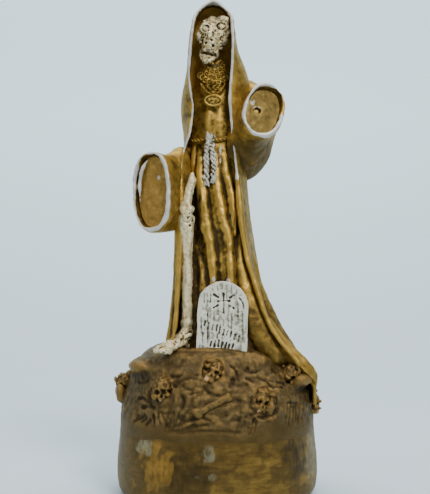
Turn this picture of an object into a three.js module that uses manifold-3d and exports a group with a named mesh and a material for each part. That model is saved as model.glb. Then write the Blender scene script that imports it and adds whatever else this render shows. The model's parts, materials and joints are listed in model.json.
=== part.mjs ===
// A folk-art figure in papier-mache: a hooded, robed skeleton that stands on an earth mound with small
// skulls and a gravestone. Millimetres, +Z up. The figure faces -Y and its own left hand is at +X.
// The origin is the centre of the base's flat underside.
import * as THREE from "three";
import { LoftGeometry } from "three/addons/geometries/LoftGeometry.js";
import { mergeVertices } from "three/addons/utils/BufferGeometryUtils.js";
import Module from "manifold-3d";

const wasm = await Module();
wasm.setup();

// ---- Driving dimensions -------------------------------------------------------------------------
const GAP = 0.3; // clearance between neighbouring solids
const WALL = 2.3; // pasted-paper wall of the mantle and the sleeves
const BASE_RADIUS = 59.5;
const DRUM_HEIGHT = 46;
const DRUM_WALL = 3;
const BOARD_THICKNESS = 3.6;
const POST_RADIUS = 2.5;
const POST_TOP = 262;
const PEG_RADIUS = 1.8; // holes in the cuffs that take the pegs of the hands
const CUFF_RECESS = 6;
const PLUG_THICKNESS = 2.6;
const HEAD = new THREE.Vector3(-2.4, -7.5, 271); // middle of the cranium
const HEAD_TILT = THREE.MathUtils.degToRad(10);
const GRAVE_WIDTH = 28.4;
const GRAVE_HEIGHT = 40;
const GRAVE_THICKNESS = 4;
const GRAVE_FOOT = 4; // how far it goes on down, until the mound cuts it off
const GRAVE_LEAN = THREE.MathUtils.degToRad(1.6);
const GRAVE_PLACE = [2.6, -34.4, 86.4];
const KNOT_RADII = [2.8, 2.2, 2.6];
const BELT_HEIGHT = 208.5;

// Half girths of the mantle at each height, measured from the Z axis:
// height, right side (-X), left side (+X), front (-Y), back (+Y).
const MANTLE = [
  [58, -40, 58.5, -39, 37],
  [68, -38.5, 57.8, -37.5, 36],
  [78, -36, 49, -35, 34],
  [88, -33, 39.5, -34, 31],
  [100, -29.5, 32.3, -33, 28.5],
  [115, -26.5, 27.8, -32, 26],
  [135, -24, 24, -30, 24],
  [160, -22.3, 21, -28, 22.5],
  [185, -21, 18.6, -26.5, 21.5],
  [205, -19.8, 18.8, -26, 21],
  [222, -21.3, 20, -26, 21],
  [233, -21.5, 20.5, -26.5, 20.5],
  [243, -19.6, 19, -27, 20],
  [254, -18, 15.2, -29, 19],
  [266, -17.2, 12, -31, 18],
  [276, -15.6, 10.3, -31, 16],
  [284, -12.8, 7.8, -28, 12.5],
  [290, -8.5, 4, -22, 7.5],
  [294, -3, -1.5, -12, -4],
];

const TUNIC_REACH = 34; // how far the tunic spreads towards +X

// How far the front of the tunic stands from the Z axis at each height.
const TUNIC_FRONT = [
  [58, -35],
  [88, -32.5],
  [115, -28.5],
  [160, -22],
  [185, -18.5],
  [205, -16],
  [222, -14.5],
  [236, -12.5],
];

// Rings of the mound: height, radius, centre's X, fall towards +X for each millimetre.
const MOUND = [
  [DRUM_HEIGHT + GAP, 56.8, 0, 0],
  [50, 57.3, 0, 0],
  [58, 56, 0, 0.01],
  [67, 54, -0.3, 0.03],
  [75, 51.6, -1, 0.05],
  [81.5, 47.6, -2, 0.055],
  [85.2, 42.5, -3, 0.055],
  [86.8, 34, -3, 0.05],
  [87.4, 20, -3, 0.04],
];

// ---- Solids -------------------------------------------------------------------------------------
function solidOf(geometry) {
  const bare = new THREE.BufferGeometry().copy(geometry);
  bare.deleteAttribute("normal");
  bare.deleteAttribute("uv");
  const merged = mergeVertices(bare, 1e-4);
  return new wasm.Manifold(
    new wasm.Mesh({
      numProp: 3,
      vertProperties: merged.attributes.position.array,
      triVerts: new Uint32Array(merged.index.array),
    }),
  );
}

function geometryOf(solid) {
  const mesh = solid.getMesh();
  const points = new Float32Array(mesh.numVert * 3);
  for (let i = 0; i < mesh.numVert; i++) {
    const start = i * mesh.numProp;
    points.set(mesh.vertProperties.subarray(start, start + 3), i * 3);
  }
  const geometry = new THREE.BufferGeometry();
  geometry.setAttribute("position", new THREE.BufferAttribute(points, 3));
  geometry.setIndex(new THREE.BufferAttribute(mesh.triVerts, 1));
  geometry.computeVertexNormals();
  return geometry;
}

// A turned piece about the Z axis from its outline of [radius, height] points.
function turned(outline, sides = 40) {
  const points = outline.map(([radius, height]) => new THREE.Vector2(radius, height));
  return new THREE.LatheGeometry(points, sides).rotateX(Math.PI / 2);
}

function rod(radius, low, high, sides = 14) {
  return new THREE.CylinderGeometry(radius, radius, high - low, sides)
    .rotateX(Math.PI / 2)
    .translate(0, 0, (low + high) / 2);
}

function ball(radii, centre, sides = 16) {
  return new THREE.SphereGeometry(1, sides, Math.round(sides / 1.5))
    .scale(...radii)
    .translate(...centre);
}

function closedLoft(sections) {
  return new LoftGeometry(sections, { capStart: true, capEnd: true });
}

// A closed, slightly squared oval that reaches from left to right and from front to back.
function girth(height, left, right, front, back, sides) {
  const SQUARENESS = 0.86; // under 1 fills out the corners of an ellipse
  const bulged = (part) => Math.sign(part) * Math.abs(part) ** SQUARENESS;
  return Array.from({ length: sides }, (_, i) => {
    const angle = (i / sides) * 2 * Math.PI;
    return new THREE.Vector3(
      (right + left) / 2 + ((right - left) / 2) * bulged(Math.cos(angle)),
      (back + front) / 2 + ((back - front) / 2) * bulged(Math.sin(angle)),
      height,
    );
  });
}

// Rows of [height, left, right, front, back] filled in smoothly and stacked into a body.
function draped(rows, steps, sides) {
  const widths = new THREE.CatmullRomCurve3(
    rows.map(([z, left, right]) => new THREE.Vector3(left, right, z)),
    false,
    "catmullrom",
  );
  const depths = new THREE.CatmullRomCurve3(
    rows.map(([z, , , front, back]) => new THREE.Vector3(front, back, z)),
    false,
    "catmullrom",
  );
  const sections = Array.from({ length: steps + 1 }, (_, i) => {
    const width = widths.getPoint(i / steps);
    const depth = depths.getPoint(i / steps);
    return girth(width.z, width.x, width.y, depth.x, depth.y, sides);
  });
  return closedLoft(sections);
}

// A flat outline of [x, z] points, smoothed, standing in the XZ plane and running from front to back.
function upright(outline, front, back, smooth = true) {
  const points = outline.map(([x, z]) => new THREE.Vector2(x, z));
  const shape = new THREE.Shape();
  if (smooth) {
    shape.moveTo(points[0].x, points[0].y);
    shape.splineThru(points.slice(1));
  } else {
    shape.setFromPoints(points);
  }
  return new THREE.ExtrudeGeometry(shape, {
    depth: back - front,
    bevelEnabled: false,
    curveSegments: 2,
  })
    .rotateX(Math.PI / 2)
    .translate(0, back, 0);
}

// A round cord or bone shaft along a smooth path.
function cord(radius, points, steps, sides = 8) {
  const section = new THREE.Shape();
  section.absarc(0, 0, radius, 0, 2 * Math.PI);
  const path = new THREE.CatmullRomCurve3(points.map((p) => new THREE.Vector3(...p)));
  return new THREE.ExtrudeGeometry(section, {
    steps,
    extrudePath: path,
    curveSegments: sides / 2,
  });
}

const group = new THREE.Group();
const finishes = {
  gold: { color: 0x94783f, roughness: 0.45, metalness: 0.6 },
  bone: { color: 0xa09068, roughness: 0.6, metalness: 0.2 },
  silver: { color: 0xb8b6aa, roughness: 0.5, metalness: 0.4 },
  earth: { color: 0x76613e, roughness: 0.6, metalness: 0.35 },
  card: { color: 0xa58a62, roughness: 0.9, metalness: 0 },
  wood: { color: 0xc2a477, roughness: 0.8, metalness: 0 },
};

function add(name, geometry, finish) {
  const mesh = new THREE.Mesh(geometry, new THREE.MeshStandardMaterial(finishes[finish]));
  mesh.name = name;
  group.add(mesh);
  return mesh;
}

// ---- Base ---------------------------------------------------------------------------------------
const boardRadius = BASE_RADIUS - 5.4;
const postBore = solidOf(rod(POST_RADIUS + GAP, -5, POST_TOP + GAP));

function baseDrum() {
  const shell = turned([
    [boardRadius + GAP, 0],
    [BASE_RADIUS - 3, 0],
    [BASE_RADIUS - 1, 2.5],
    [BASE_RADIUS, 8],
    [BASE_RADIUS, 18],
    [BASE_RADIUS - 1, 32],
    [BASE_RADIUS - 2.4, DRUM_HEIGHT],
    [0, DRUM_HEIGHT],
    [0, DRUM_HEIGHT - DRUM_WALL],
    [BASE_RADIUS - 2 * DRUM_WALL, DRUM_HEIGHT - DRUM_WALL],
    [BASE_RADIUS - DRUM_WALL, 18],
    [BASE_RADIUS - DRUM_WALL, 10],
    [boardRadius + GAP, BOARD_THICKNESS + GAP],
    [boardRadius + GAP, 0],
  ]);
  return geometryOf(solidOf(shell).subtract(postBore));
}

// The same mound stands in the model and, grown by the clearance, cuts what rests on it.
function moundBody(grow) {
  const SIDES = 44;
  const sections = MOUND.map(([height, radius, centre, fall], ring) =>
    Array.from({ length: SIDES }, (_, i) => {
      const angle = (i / SIDES) * 2 * Math.PI;
      const x = centre + (radius + grow) * Math.cos(angle);
      const rise = ring === 0 ? -grow : grow;
      return new THREE.Vector3(x, (radius + grow) * Math.sin(angle), height + rise - fall * x);
    }),
  );
  return solidOf(closedLoft(sections));
}

const mound = moundBody(0);
const moundCutter = moundBody(GAP);
const onMound = (geometry) => solidOf(geometry).subtract(moundCutter);

add("bottom_board", rod(boardRadius, 0, BOARD_THICKNESS, 40), "card");
add("base_drum", baseDrum(), "earth");
add("core_post", rod(POST_RADIUS, BOARD_THICKNESS + GAP, POST_TOP), "wood");
add("mound", geometryOf(mound.subtract(postBore)), "earth");

// ---- Robes --------------------------------------------------------------------------------------
const MANTLE_STEPS = 24;
const MANTLE_SIDES = 32;

// Rows of half girths, each drawn in by the same amount.
function shrunk(rows, inset) {
  return rows.map(([z, left, right, front, back]) => {
    return [z, left + inset, right - inset, front + inset, back - inset];
  });
}

const mantleOuter = draped(MANTLE, MANTLE_STEPS, MANTLE_SIDES);
const mantleSkin = solidOf(draped(shrunk(MANTLE, -GAP), MANTLE_STEPS, MANTLE_SIDES));

// The hollow of the mantle stops a wall's thickness under the tip of the hood.
function hollowOfMantle() {
  const BELOW_THE_HEM = 40;
  const rows = shrunk(MANTLE, WALL).slice(0, -2);
  const top = [MANTLE.at(-1)[0] - WALL, -4.2, -0.6, -14, -3];
  const bottom = [BELOW_THE_HEM, ...rows[0].slice(1)];
  return solidOf(draped([bottom, ...rows, top], MANTLE_STEPS, MANTLE_SIDES));
}
const mantleHollow = hollowOfMantle();

// What lies open between the two front edges of the mantle, seen from the front.
function mantleOpening() {
  const outline = [
    [-36, 50],
    [-31.5, 84],
    [-28, 95],
    [-24.8, 112],
    [-22.6, 135],
    [-22, 160],
    [-23, 175],
    [-22, 192],
    [-17.5, 206],
    [-14.6, 218],
    [-12.9, 229],
    [-14.3, 241],
    [-15.1, 256],
    [-13.6, 273],
    [-10.6, 284],
    [-6.5, 289.6],
    [-1.5, 291],
    [2.6, 288],
    [6.2, 280],
    [8.1, 266],
    [8.2, 248],
    [7.4, 229],
    [8.6, 208],
    [12, 186],
    [14.2, 165],
    [19.5, 132],
    [24.6, 114],
    [31, 101],
    [38, 90],
    [46, 80],
    [52.5, 72],
    [60, 50],
  ];
  return solidOf(upright(outline, -80, -3));
}

// Trims the front of the mantle back to the line of its edges, seen from the side.
function mantleFrontTrim() {
  const outline = [
    [-90, 40],
    [-37, 60],
    [-33, 90],
    [-28, 120],
    [-24.5, 160],
    [-22, 200],
    [-21, 240],
    [-22, 265],
    [-20.5, 280],
    [-15.5, 291],
    [-12, 300],
    [-90, 310],
  ];
  return solidOf(upright(outline, -80, 80, false).rotateZ(Math.PI / 2));
}

function mantle() {
  const body = solidOf(mantleOuter).subtract(mantleHollow);
  return geometryOf(
    body.subtract(mantleOpening()).subtract(mantleFrontTrim()).subtract(moundCutter),
  );
}

// The slit in the skirt, from which the leg comes out.
function skirtSlit() {
  const outline = [
    [-50, 60],
    [-50, 170],
    [-22, 186],
    [-12.4, 189],
    [-9.2, 178],
    [-6.6, 164],
    [-4.6, 150],
    [-5, 137],
    [-7, 124],
    [-10, 114],
    [-12.2, 100],
    [-12.6, 60],
  ];
  return solidOf(upright(outline, -80, -15.5, false));
}

function tunicRows() {
  const inset = WALL + GAP;
  const front = (z) => {
    const next = TUNIC_FRONT.findIndex(([height]) => height >= z);
    const [z1, y1] = TUNIC_FRONT[Math.max(next, 1)];
    const [z0, y0] = TUNIC_FRONT[Math.max(next, 1) - 1];
    return THREE.MathUtils.mapLinear(z, z0, z1, y0, y1);
  };
  const rows = shrunk(MANTLE, inset + 0.4)
    .filter(([z]) => z <= 233)
    .map(([z, left, right, , back]) => [z, left, Math.min(right, TUNIC_REACH), front(z), back]);
  const shoulders = [
    [240, -13, 9.5, -10.5, 12],
    [246, -6, 3.5, -6, 7],
  ];
  return [...rows, ...shoulders];
}

const tunicBody = solidOf(draped(tunicRows(), 24, 32));

add("mantle", mantle(), "gold");
add(
  "tunic",
  geometryOf(
    tunicBody
      .intersect(mantleHollow)
      .subtract(skirtSlit())
      .subtract(moundCutter)
      .subtract(postBore),
  ),
  "gold",
);

// ---- Sleeves and cuffs --------------------------------------------------------------------------
// A cross-section of a sleeve: its middle, its half width and half height, the way that it faces
// (0 is straight ahead, positive towards +X and upwards) and its lean about that way.
function sleeveFrame({ at, yaw = 0, pitch = 0, roll = 0 }) {
  const radians = THREE.MathUtils.degToRad;
  const facing = new THREE.Matrix4().makeRotationZ(radians(yaw));
  facing.multiply(new THREE.Matrix4().makeRotationX(radians(-pitch)));
  facing.multiply(new THREE.Matrix4().makeRotationY(radians(-roll)));
  return facing.setPosition(...at);
}

function sleeveRing(section, inset, push = 0) {
  const SIDES = 28;
  const frame = sleeveFrame(section);
  return Array.from({ length: SIDES }, (_, i) => {
    const angle = (i / SIDES) * 2 * Math.PI;
    return new THREE.Vector3(
      (section.wide - inset) * Math.cos(angle),
      -push,
      (section.tall - inset) * Math.sin(angle),
    ).applyMatrix4(frame);
  });
}

// A sleeve's body between its sections; both ends are carried on by the given lengths.
function sleeveBody(sections, inset, before = 0, after = 0) {
  const rings = sections.map((section, i) => {
    const last = sections.length - 1;
    return sleeveRing(section, inset, i === 0 ? -before : i === last ? after : 0);
  });
  return solidOf(closedLoft(rings));
}

// A slab that faces the way of the cuff, from one depth behind the cuff's edge to a deeper one.
function cuffSlab(cuff, from, to) {
  const SPAN = 90;
  const slab = new THREE.BoxGeometry(SPAN, to - from, SPAN).translate(0, (from + to) / 2, 0);
  return solidOf(slab.applyMatrix4(sleeveFrame(cuff)));
}

// The hole for a hand's peg, placed across and up from the middle of the cuff.
function pegHole(cuff, across, up) {
  const hole = new THREE.CylinderGeometry(PEG_RADIUS, PEG_RADIUS, 60, 14).translate(across, 0, up);
  return solidOf(hole.applyMatrix4(sleeveFrame(cuff)));
}

const RIGHT_SLEEVE = [
  { at: [-10, 4, 190], wide: 8, tall: 16, yaw: -48 },
  { at: [-20, -5, 183], wide: 9.5, tall: 20.5, yaw: -42 },
  { at: [-30.5, -20, 178.6], wide: 11.4, tall: 22.8, yaw: -33 },
  { at: [-37.8, -33, 177.4], wide: 12, tall: 22.8, yaw: -27, pitch: 4, roll: 4 },
];
const LEFT_SLEEVE = [
  { at: [8, 8, 219], wide: 10, tall: 20, yaw: 40 },
  { at: [19, -3, 214], wide: 14.5, tall: 29.5, yaw: 26, roll: -6 },
  { at: [24.5, -15, 218], wide: 13.2, tall: 22.5, yaw: 22, pitch: 12, roll: -16 },
  { at: [27.4, -30.5, 225.2], wide: 12, tall: 16.6, yaw: 20, pitch: 20, roll: -25 },
];
const PEG_OFFSETS = { right: [3.2, 8], left: [-3, -1.4] };
const STRAIGHT = CUFF_RECESS + PLUG_THICKNESS + 1; // the last stretch of each sleeve doesn't taper

function behind(section, distance) {
  const at = new THREE.Vector3(0, distance, 0).applyMatrix4(sleeveFrame(section));
  return { ...section, at: at.toArray() };
}

for (const [side, taper] of [
  ["right", RIGHT_SLEEVE],
  ["left", LEFT_SLEEVE],
]) {
  const cuff = taper.at(-1);
  const sections = [...taper.slice(0, -1), behind(cuff, STRAIGHT), cuff];
  const hollow = sleeveBody(sections, WALL, 20, 20);
  const sleeve = sleeveBody(sections, 0).subtract(hollow).subtract(mantleSkin);
  const plug = sleeveBody(sections, WALL + GAP, 20, 20)
    .intersect(cuffSlab(cuff, CUFF_RECESS, CUFF_RECESS + PLUG_THICKNESS))
    .subtract(pegHole(cuff, ...PEG_OFFSETS[side]));
  add(side + "_sleeve", geometryOf(sleeve), "gold");
  add(side + "_cuff_plug", geometryOf(plug), "gold");
}

// ---- Head ---------------------------------------------------------------------------------------
function cranium() {
  const brain = solidOf(ball([9.2, 10.6, 9.6], [0, 1, 2], 20));
  const face = solidOf(ball([7.4, 5.6, 8.2], [0, -5.2, -4.4]));
  const cheeks = solidOf(ball([8.9, 4.2, 2.4], [0, -4.6, -3.6]));
  let skull = brain.add(face).add(cheeks);
  for (const side of [-1, 1]) {
    skull = skull.subtract(solidOf(ball([3, 3.4, 2.9], [side * 4, -9.8, -0.6], 12)));
  }
  return skull.subtract(solidOf(ball([1.5, 2.6, 2], [0, -10.8, -5.4], 10)));
}

function placedInHead(solid) {
  return solidOf(
    geometryOf(solid).rotateY(HEAD_TILT).translate(HEAD.x, HEAD.y, HEAD.z),
  );
}

function jaw() {
  const outer = solidOf(ball([6.4, 6.6, 5], [0, -4.4, -13.2]));
  const mouth = solidOf(ball([4.4, 5.6, 3.4], [0, -2.2, -11.6], 12));
  const cut = solidOf(new THREE.BoxGeometry(30, 30, 12).translate(0, 0, -6.4));
  const back = solidOf(new THREE.BoxGeometry(30, 8, 30).translate(0, 3.8, -12));
  return outer.subtract(mouth).subtract(cut).subtract(back);
}

function neck() {
  const VERTEBRAE = 3;
  const LOW = 246.6;
  const HIGH = 256.4;
  const WIDE = 4.3;
  const WAIST = 3.5;
  const bore = POST_RADIUS + GAP;
  const pitch = (HIGH - LOW) / VERTEBRAE;
  const outline = [[bore, LOW]];
  for (let i = 0; i < VERTEBRAE; i++) {
    outline.push([WIDE, LOW + (i + 0.2) * pitch], [WIDE, LOW + (i + 0.7) * pitch]);
    outline.push([WAIST, LOW + (i + 1) * pitch]);
  }
  outline.push([bore, HIGH], [bore, LOW]);
  return turned(outline, 14);
}

add("cranium", geometryOf(placedInHead(cranium()).subtract(postBore)), "bone");
add("jaw", geometryOf(placedInHead(jaw())), "bone");
add("neck", neck(), "bone");

// ---- Collar, pendant and belt -------------------------------------------------------------------
const clearOf = (geometry, ...others) =>
  others.reduce((solid, other) => solid.subtract(other), solidOf(geometry));
const tunicSkin = solidOf(
  draped(
    tunicRows().map(([z, l, r, f, b]) => [z, l - GAP, r + GAP, f - GAP, b + GAP]),
    24,
    32,
  ),
);

// One strand of the collar: each lower strand hangs wider and stands a little further out.
function collarPath(strand) {
  const drop = 2.8 * strand;
  const spread = 1.2 * strand;
  const out = 0.4 * strand;
  return [
    [-7.2 - spread, -10 - out, 247.6 - drop],
    [-5.6 - spread / 2, -14.2 - out, 243.6 - drop],
    [-1.6, -15.6 - out, 242.2 - drop],
    [2.4 + spread / 2, -14.2 - out, 243.6 - drop],
    [4.2 + spread, -10 - out, 247.6 - drop],
  ];
}
for (const strand of [0, 1, 2]) {
  const beads = clearOf(cord(1.15, collarPath(strand), 14), tunicSkin);
  add("collar_strand_" + (strand + 1), geometryOf(beads), "gold");
}

const MEDALLION_CENTRE = [-2.1, -18.2, 230.8];
const chainPath = [
  [-9.6, -15.4, 240.6],
  [-7.4, -16.9, 236.8],
  [-4.4, -17.7, 234.7],
  [-1.9, -18, 234.4],
  [0.8, -17.7, 234.8],
  [3.4, -17, 237],
  [5.4, -15.8, 240.4],
];
const medallionOutline = new THREE.Shape().absellipse(0, 0, 5.8, 3.7, 0, 2 * Math.PI);
const medallion = new THREE.ExtrudeGeometry(medallionOutline, {
  depth: 1.6,
  bevelThickness: 0.4,
  bevelSize: 0.4,
  bevelOffset: -0.4,
  bevelSegments: 1,
  curveSegments: 12,
})
  .rotateX(Math.PI / 2)
  .translate(...MEDALLION_CENTRE);
const medallionSkin = solidOf(ball([6.6, 3, 4.2], MEDALLION_CENTRE));
const lowestStrand = solidOf(cord(1.15 + GAP, collarPath(2), 14));
const pendantChain = clearOf(cord(0.8, chainPath, 16), tunicSkin, medallionSkin, lowestStrand);
add("pendant_chain", geometryOf(pendantChain), "gold");
add("medallion", geometryOf(clearOf(medallion, tunicSkin)), "gold");

const beltPath = [
  [-13.4, -11.8, BELT_HEIGHT - 0.6],
  [-9.2, -15.6, BELT_HEIGHT - 0.4],
  [-4.4, -16.9, BELT_HEIGHT],
  [1.6, -17, BELT_HEIGHT],
  [6.6, -16, BELT_HEIGHT + 1.2],
  [10.6, -13.8, BELT_HEIGHT + 2.4],
];
const knotCentre = [-4, -18.4, BELT_HEIGHT + 0.6];
const knotSkin = solidOf(ball(KNOT_RADII.map((radius) => radius + GAP), knotCentre, 12));
const tailPaths = {
  right: [
    [-5.6, -18.8, BELT_HEIGHT - 1.6],
    [-5.6, -19.8, 200],
    [-5.4, -21.2, 192],
    [-5.8, -22.6, 184.4],
  ],
  left: [
    [-2.3, -18.8, BELT_HEIGHT - 1.6],
    [-1.2, -19.8, 202],
    [0.4, -20.6, 196.4],
    [0.6, -21.2, 192.6],
  ],
};
add("belt", geometryOf(clearOf(cord(1.1, beltPath, 16), tunicSkin, knotSkin)), "gold");
add("belt_knot", geometryOf(clearOf(ball(KNOT_RADII, knotCentre, 12), tunicSkin)), "silver");
for (const [side, path] of Object.entries(tailPaths)) {
  const tail = clearOf(cord(1.4, path, 10), tunicSkin, knotSkin);
  add("belt_tail_" + side, geometryOf(tail), "silver");
}

// ---- Leg ----------------------------------------------------------------------------------------
// A long bone: a shaft that swells at both ends. Rows hold the middle and the radius.
function bone(rows) {
  const SIDES = 12;
  const middles = new THREE.CatmullRomCurve3(rows.map(([x, y, z]) => new THREE.Vector3(x, y, z)));
  const sections = rows.map(([x, y, z, radius], i) => {
    const along = middles.getTangent(i / (rows.length - 1));
    const turn = new THREE.Quaternion().setFromUnitVectors(new THREE.Vector3(0, 0, 1), along);
    return Array.from({ length: SIDES }, (_, k) => {
      const angle = (k / SIDES) * 2 * Math.PI;
      const point = new THREE.Vector3(radius * Math.cos(angle), radius * Math.sin(angle), 0);
      return point.applyQuaternion(turn).add(new THREE.Vector3(x, y, z));
    });
  });
  return closedLoft(sections);
}

const thighBone = bone([
  [-17.2, -25.2, 166.2, 4.4],
  [-17, -25, 169, 4.8],
  [-16.4, -24.2, 173.4, 3.6],
  [-15.2, -22.6, 179, 2.9],
  [-14.2, -20.6, 185.4, 2.4],
  [-13.6, -19.4, 188.6, 1.7],
]);
const shinBone = bone([
  [-17.3, -25, 102.6, 3.8],
  [-17.3, -25, 105, 3.4],
  [-17.2, -24.8, 112, 3],
  [-17.2, -24.4, 135, 3.1],
  [-17.4, -24.6, 150, 3.6],
  [-17.6, -25, 158, 4.8],
  [-17.4, -25.2, 162.6, 5],
  [-17.2, -25.2, 165.8, 4.5],
]);
const footBone = bone([
  [-16.6, -24.6, 100.6, 4.1],
  [-17.4, -25.6, 96.4, 4.7],
  [-21, -28.2, 92.4, 4.8],
  [-27, -32, 90.2, 4.7],
  [-32.4, -35, 88.6, 4.4],
  [-34.4, -36, 88.2, 3.2],
]);
const kneecap = ball([3.6, 2, 3.9], [-17.2, -30.6, 165], 12);
const bareLeg = solidOf(
  bone([
    [-17.3, -25, 101, 5.5],
    [-17.2, -25.2, 170, 5.5],
  ]),
);

const rightSleeveSkin = sleeveBody(RIGHT_SLEEVE, -GAP);
add("thigh_bone", geometryOf(clearOf(thighBone, tunicBody, rightSleeveSkin)), "bone");
add("kneecap", geometryOf(clearOf(kneecap, bareLeg)), "bone");
add("shin_bone", geometryOf(solidOf(shinBone)), "bone");
add("foot", geometryOf(onMound(footBone)), "bone");

// ---- What stands on the mound and lies in it ----------------------------------------------------
function gravestone() {
  const half = GRAVE_WIDTH / 2;
  const arch = GRAVE_HEIGHT - half;
  const outline = new THREE.Shape();
  outline.moveTo(-half, -GRAVE_FOOT).lineTo(half, -GRAVE_FOOT).lineTo(half, arch);
  outline.absarc(0, arch, half, 0, Math.PI);
  outline.lineTo(-half, -GRAVE_FOOT);
  const extrusion = { depth: GRAVE_THICKNESS, bevelEnabled: false, curveSegments: 14 };
  return new THREE.ExtrudeGeometry(outline, extrusion)
    .rotateX(Math.PI / 2)
    .rotateY(GRAVE_LEAN)
    .translate(...GRAVE_PLACE);
}
add("gravestone", geometryOf(onMound(gravestone())), "silver");

// Skulls half sunk in the mound: middle, half sizes.
const MOUND_SKULLS = [
  [[-29.5, -45, 67.5], [6.4, 6, 7.2]],
  [[-3.4, -48.6, 76.4], [6.6, 6, 7.6]],
  [[24.6, -48.4, 62], [6.4, 6.4, 7.8]],
  [[41.6, -32.6, 72.6], [6, 6, 6.4]],
  [[-53.4, -3, 63.5], [5.6, 6, 7]],
  [[52.8, -8, 55.5], [5.6, 6, 7.4]],
];
const drumCutter = solidOf(rod(BASE_RADIUS + 5, 0, DRUM_HEIGHT + GAP, 40));
MOUND_SKULLS.forEach(([middle, radii], i) => {
  const buried = clearOf(ball(radii, middle, 14), moundCutter, drumCutter, mantleSkin);
  add("mound_skull_" + (i + 1), geometryOf(buried), "earth");
});

const moundBone = bone([
  [-11.8, -54.6, 56, 3],
  [-10, -55, 57, 2.6],
  [-6, -55.6, 58.6, 1.9],
  [2, -55.2, 61.6, 1.9],
  [4.8, -54.4, 63, 2.6],
  [6.6, -53.8, 64, 2.8],
]);
add("mound_bone", geometryOf(onMound(moundBone)), "earth");

export default group;
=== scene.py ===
"""A gilt papier-mache figure: a hooded skeleton in a robe, on an earth mound with half-buried skulls.

Each visible piece is sculpted here as clay on a fine grid, skinned, roughened and painted, in place of
the plain CAD solid of the same name. Sculpting is in millimetres; Blender's own units are metres.
"""

import itertools
import json
import math

import bpy
import numpy as np
from mathutils import Matrix, Vector

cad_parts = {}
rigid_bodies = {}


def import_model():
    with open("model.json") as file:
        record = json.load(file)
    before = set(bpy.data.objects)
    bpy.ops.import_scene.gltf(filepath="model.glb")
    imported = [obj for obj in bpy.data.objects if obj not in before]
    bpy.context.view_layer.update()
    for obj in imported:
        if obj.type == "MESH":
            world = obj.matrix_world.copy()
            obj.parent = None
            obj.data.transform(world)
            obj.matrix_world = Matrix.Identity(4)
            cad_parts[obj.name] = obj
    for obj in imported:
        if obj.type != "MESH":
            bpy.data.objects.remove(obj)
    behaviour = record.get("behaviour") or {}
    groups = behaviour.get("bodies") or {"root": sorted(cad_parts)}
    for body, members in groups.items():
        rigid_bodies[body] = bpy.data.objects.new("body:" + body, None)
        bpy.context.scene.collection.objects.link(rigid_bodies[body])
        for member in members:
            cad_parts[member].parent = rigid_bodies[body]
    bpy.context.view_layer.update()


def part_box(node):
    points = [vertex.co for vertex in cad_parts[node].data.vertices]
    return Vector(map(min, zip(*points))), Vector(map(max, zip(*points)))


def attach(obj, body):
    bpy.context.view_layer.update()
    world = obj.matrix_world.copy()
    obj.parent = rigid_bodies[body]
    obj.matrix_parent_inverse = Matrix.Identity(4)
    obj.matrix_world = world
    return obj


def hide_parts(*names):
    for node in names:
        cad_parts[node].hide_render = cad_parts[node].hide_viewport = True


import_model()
MM = 0.001


def box_mm(node):
    """Lowest and highest corner of a CAD node, in millimetres."""
    low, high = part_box(node)
    return np.array(low) / MM, np.array(high) / MM


def show(thing):
    """Links a new object into the scene."""
    bpy.context.scene.collection.objects.link(thing)


def middle_mm(node):
    """The middle of a CAD node's box, in millimetres."""
    low, high = box_mm(node)
    return (low + high) / 2


# ---- Camera ------------------------------------------------------------------
CAMERA_PLACE = Vector((-0.0012, -0.6, 0.1458))
CAMERA_LENS = 72.9


def make_camera():
    camera = bpy.data.objects.new("camera", bpy.data.cameras.new("camera"))
    camera.data.lens = CAMERA_LENS
    camera.data.sensor_width = 36
    camera.data.clip_start = 0.01
    camera.location = CAMERA_PLACE
    camera.rotation_euler = (math.pi / 2, 0, 0)
    show(camera)
    bpy.context.scene.camera = camera


make_camera()


# ---- Random textures of the surface ------------------------------------------
def speckle(points, size, seed):
    """Smooth random values from -1 to 1 that change over about `size` millimetres."""
    spots = points / size
    cell = np.floor(spots).astype(np.int64)
    part = spots - cell
    part = part * part * (3 - 2 * part)
    total = np.zeros(points.shape[:-1])
    for corner in itertools.product((0, 1), repeat=3):
        x, y, z = (cell[..., i] + corner[i] for i in range(3))
        mixed = x * 374761393 + y * 668265263 + z * 1440662683 + seed * 974634777
        mixed = (mixed ^ (mixed >> 13)) * 1274126177
        value = ((mixed ^ (mixed >> 16)) & 0xFFFF) / 32767.5 - 1
        weight = np.ones(points.shape[:-1])
        for i in range(3):
            weight = weight * (part[..., i] if corner[i] else 1 - part[..., i])
        total += weight * value
    return total


def rough(points, size, seed):
    """Speckle on three scales, each half the size and half the strength of the one before."""
    return sum(speckle(points, size / 2**i, seed + i) / 2**i for i in range(3))


def between(value, low, high):
    """0 below low, 1 above high, and smooth in between."""
    part = np.clip((value - low) / (high - low), 0, 1)
    return part * part * (3 - 2 * part)


# ---- Clay --------------------------------------------------------------------
FAR = 40.0  # the distance given to grid points that no clay is near


def melt(a, b, soft):
    """The nearer of two distances, with a fillet of about `soft` where they meet."""
    if soft <= 0:
        return np.minimum(a, b)
    part = np.clip(0.5 + 0.5 * (b - a) / soft, 0, 1)
    return b + (a - b) * part - soft * part * (1 - part)


class Shape:
    """A solid: the box that holds it, and a function from x, y, z to the distance from its surface."""

    def __init__(self, low, high, distance):
        self.low = np.array(low, float)
        self.high = np.array(high, float)
        self.distance = distance


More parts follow.
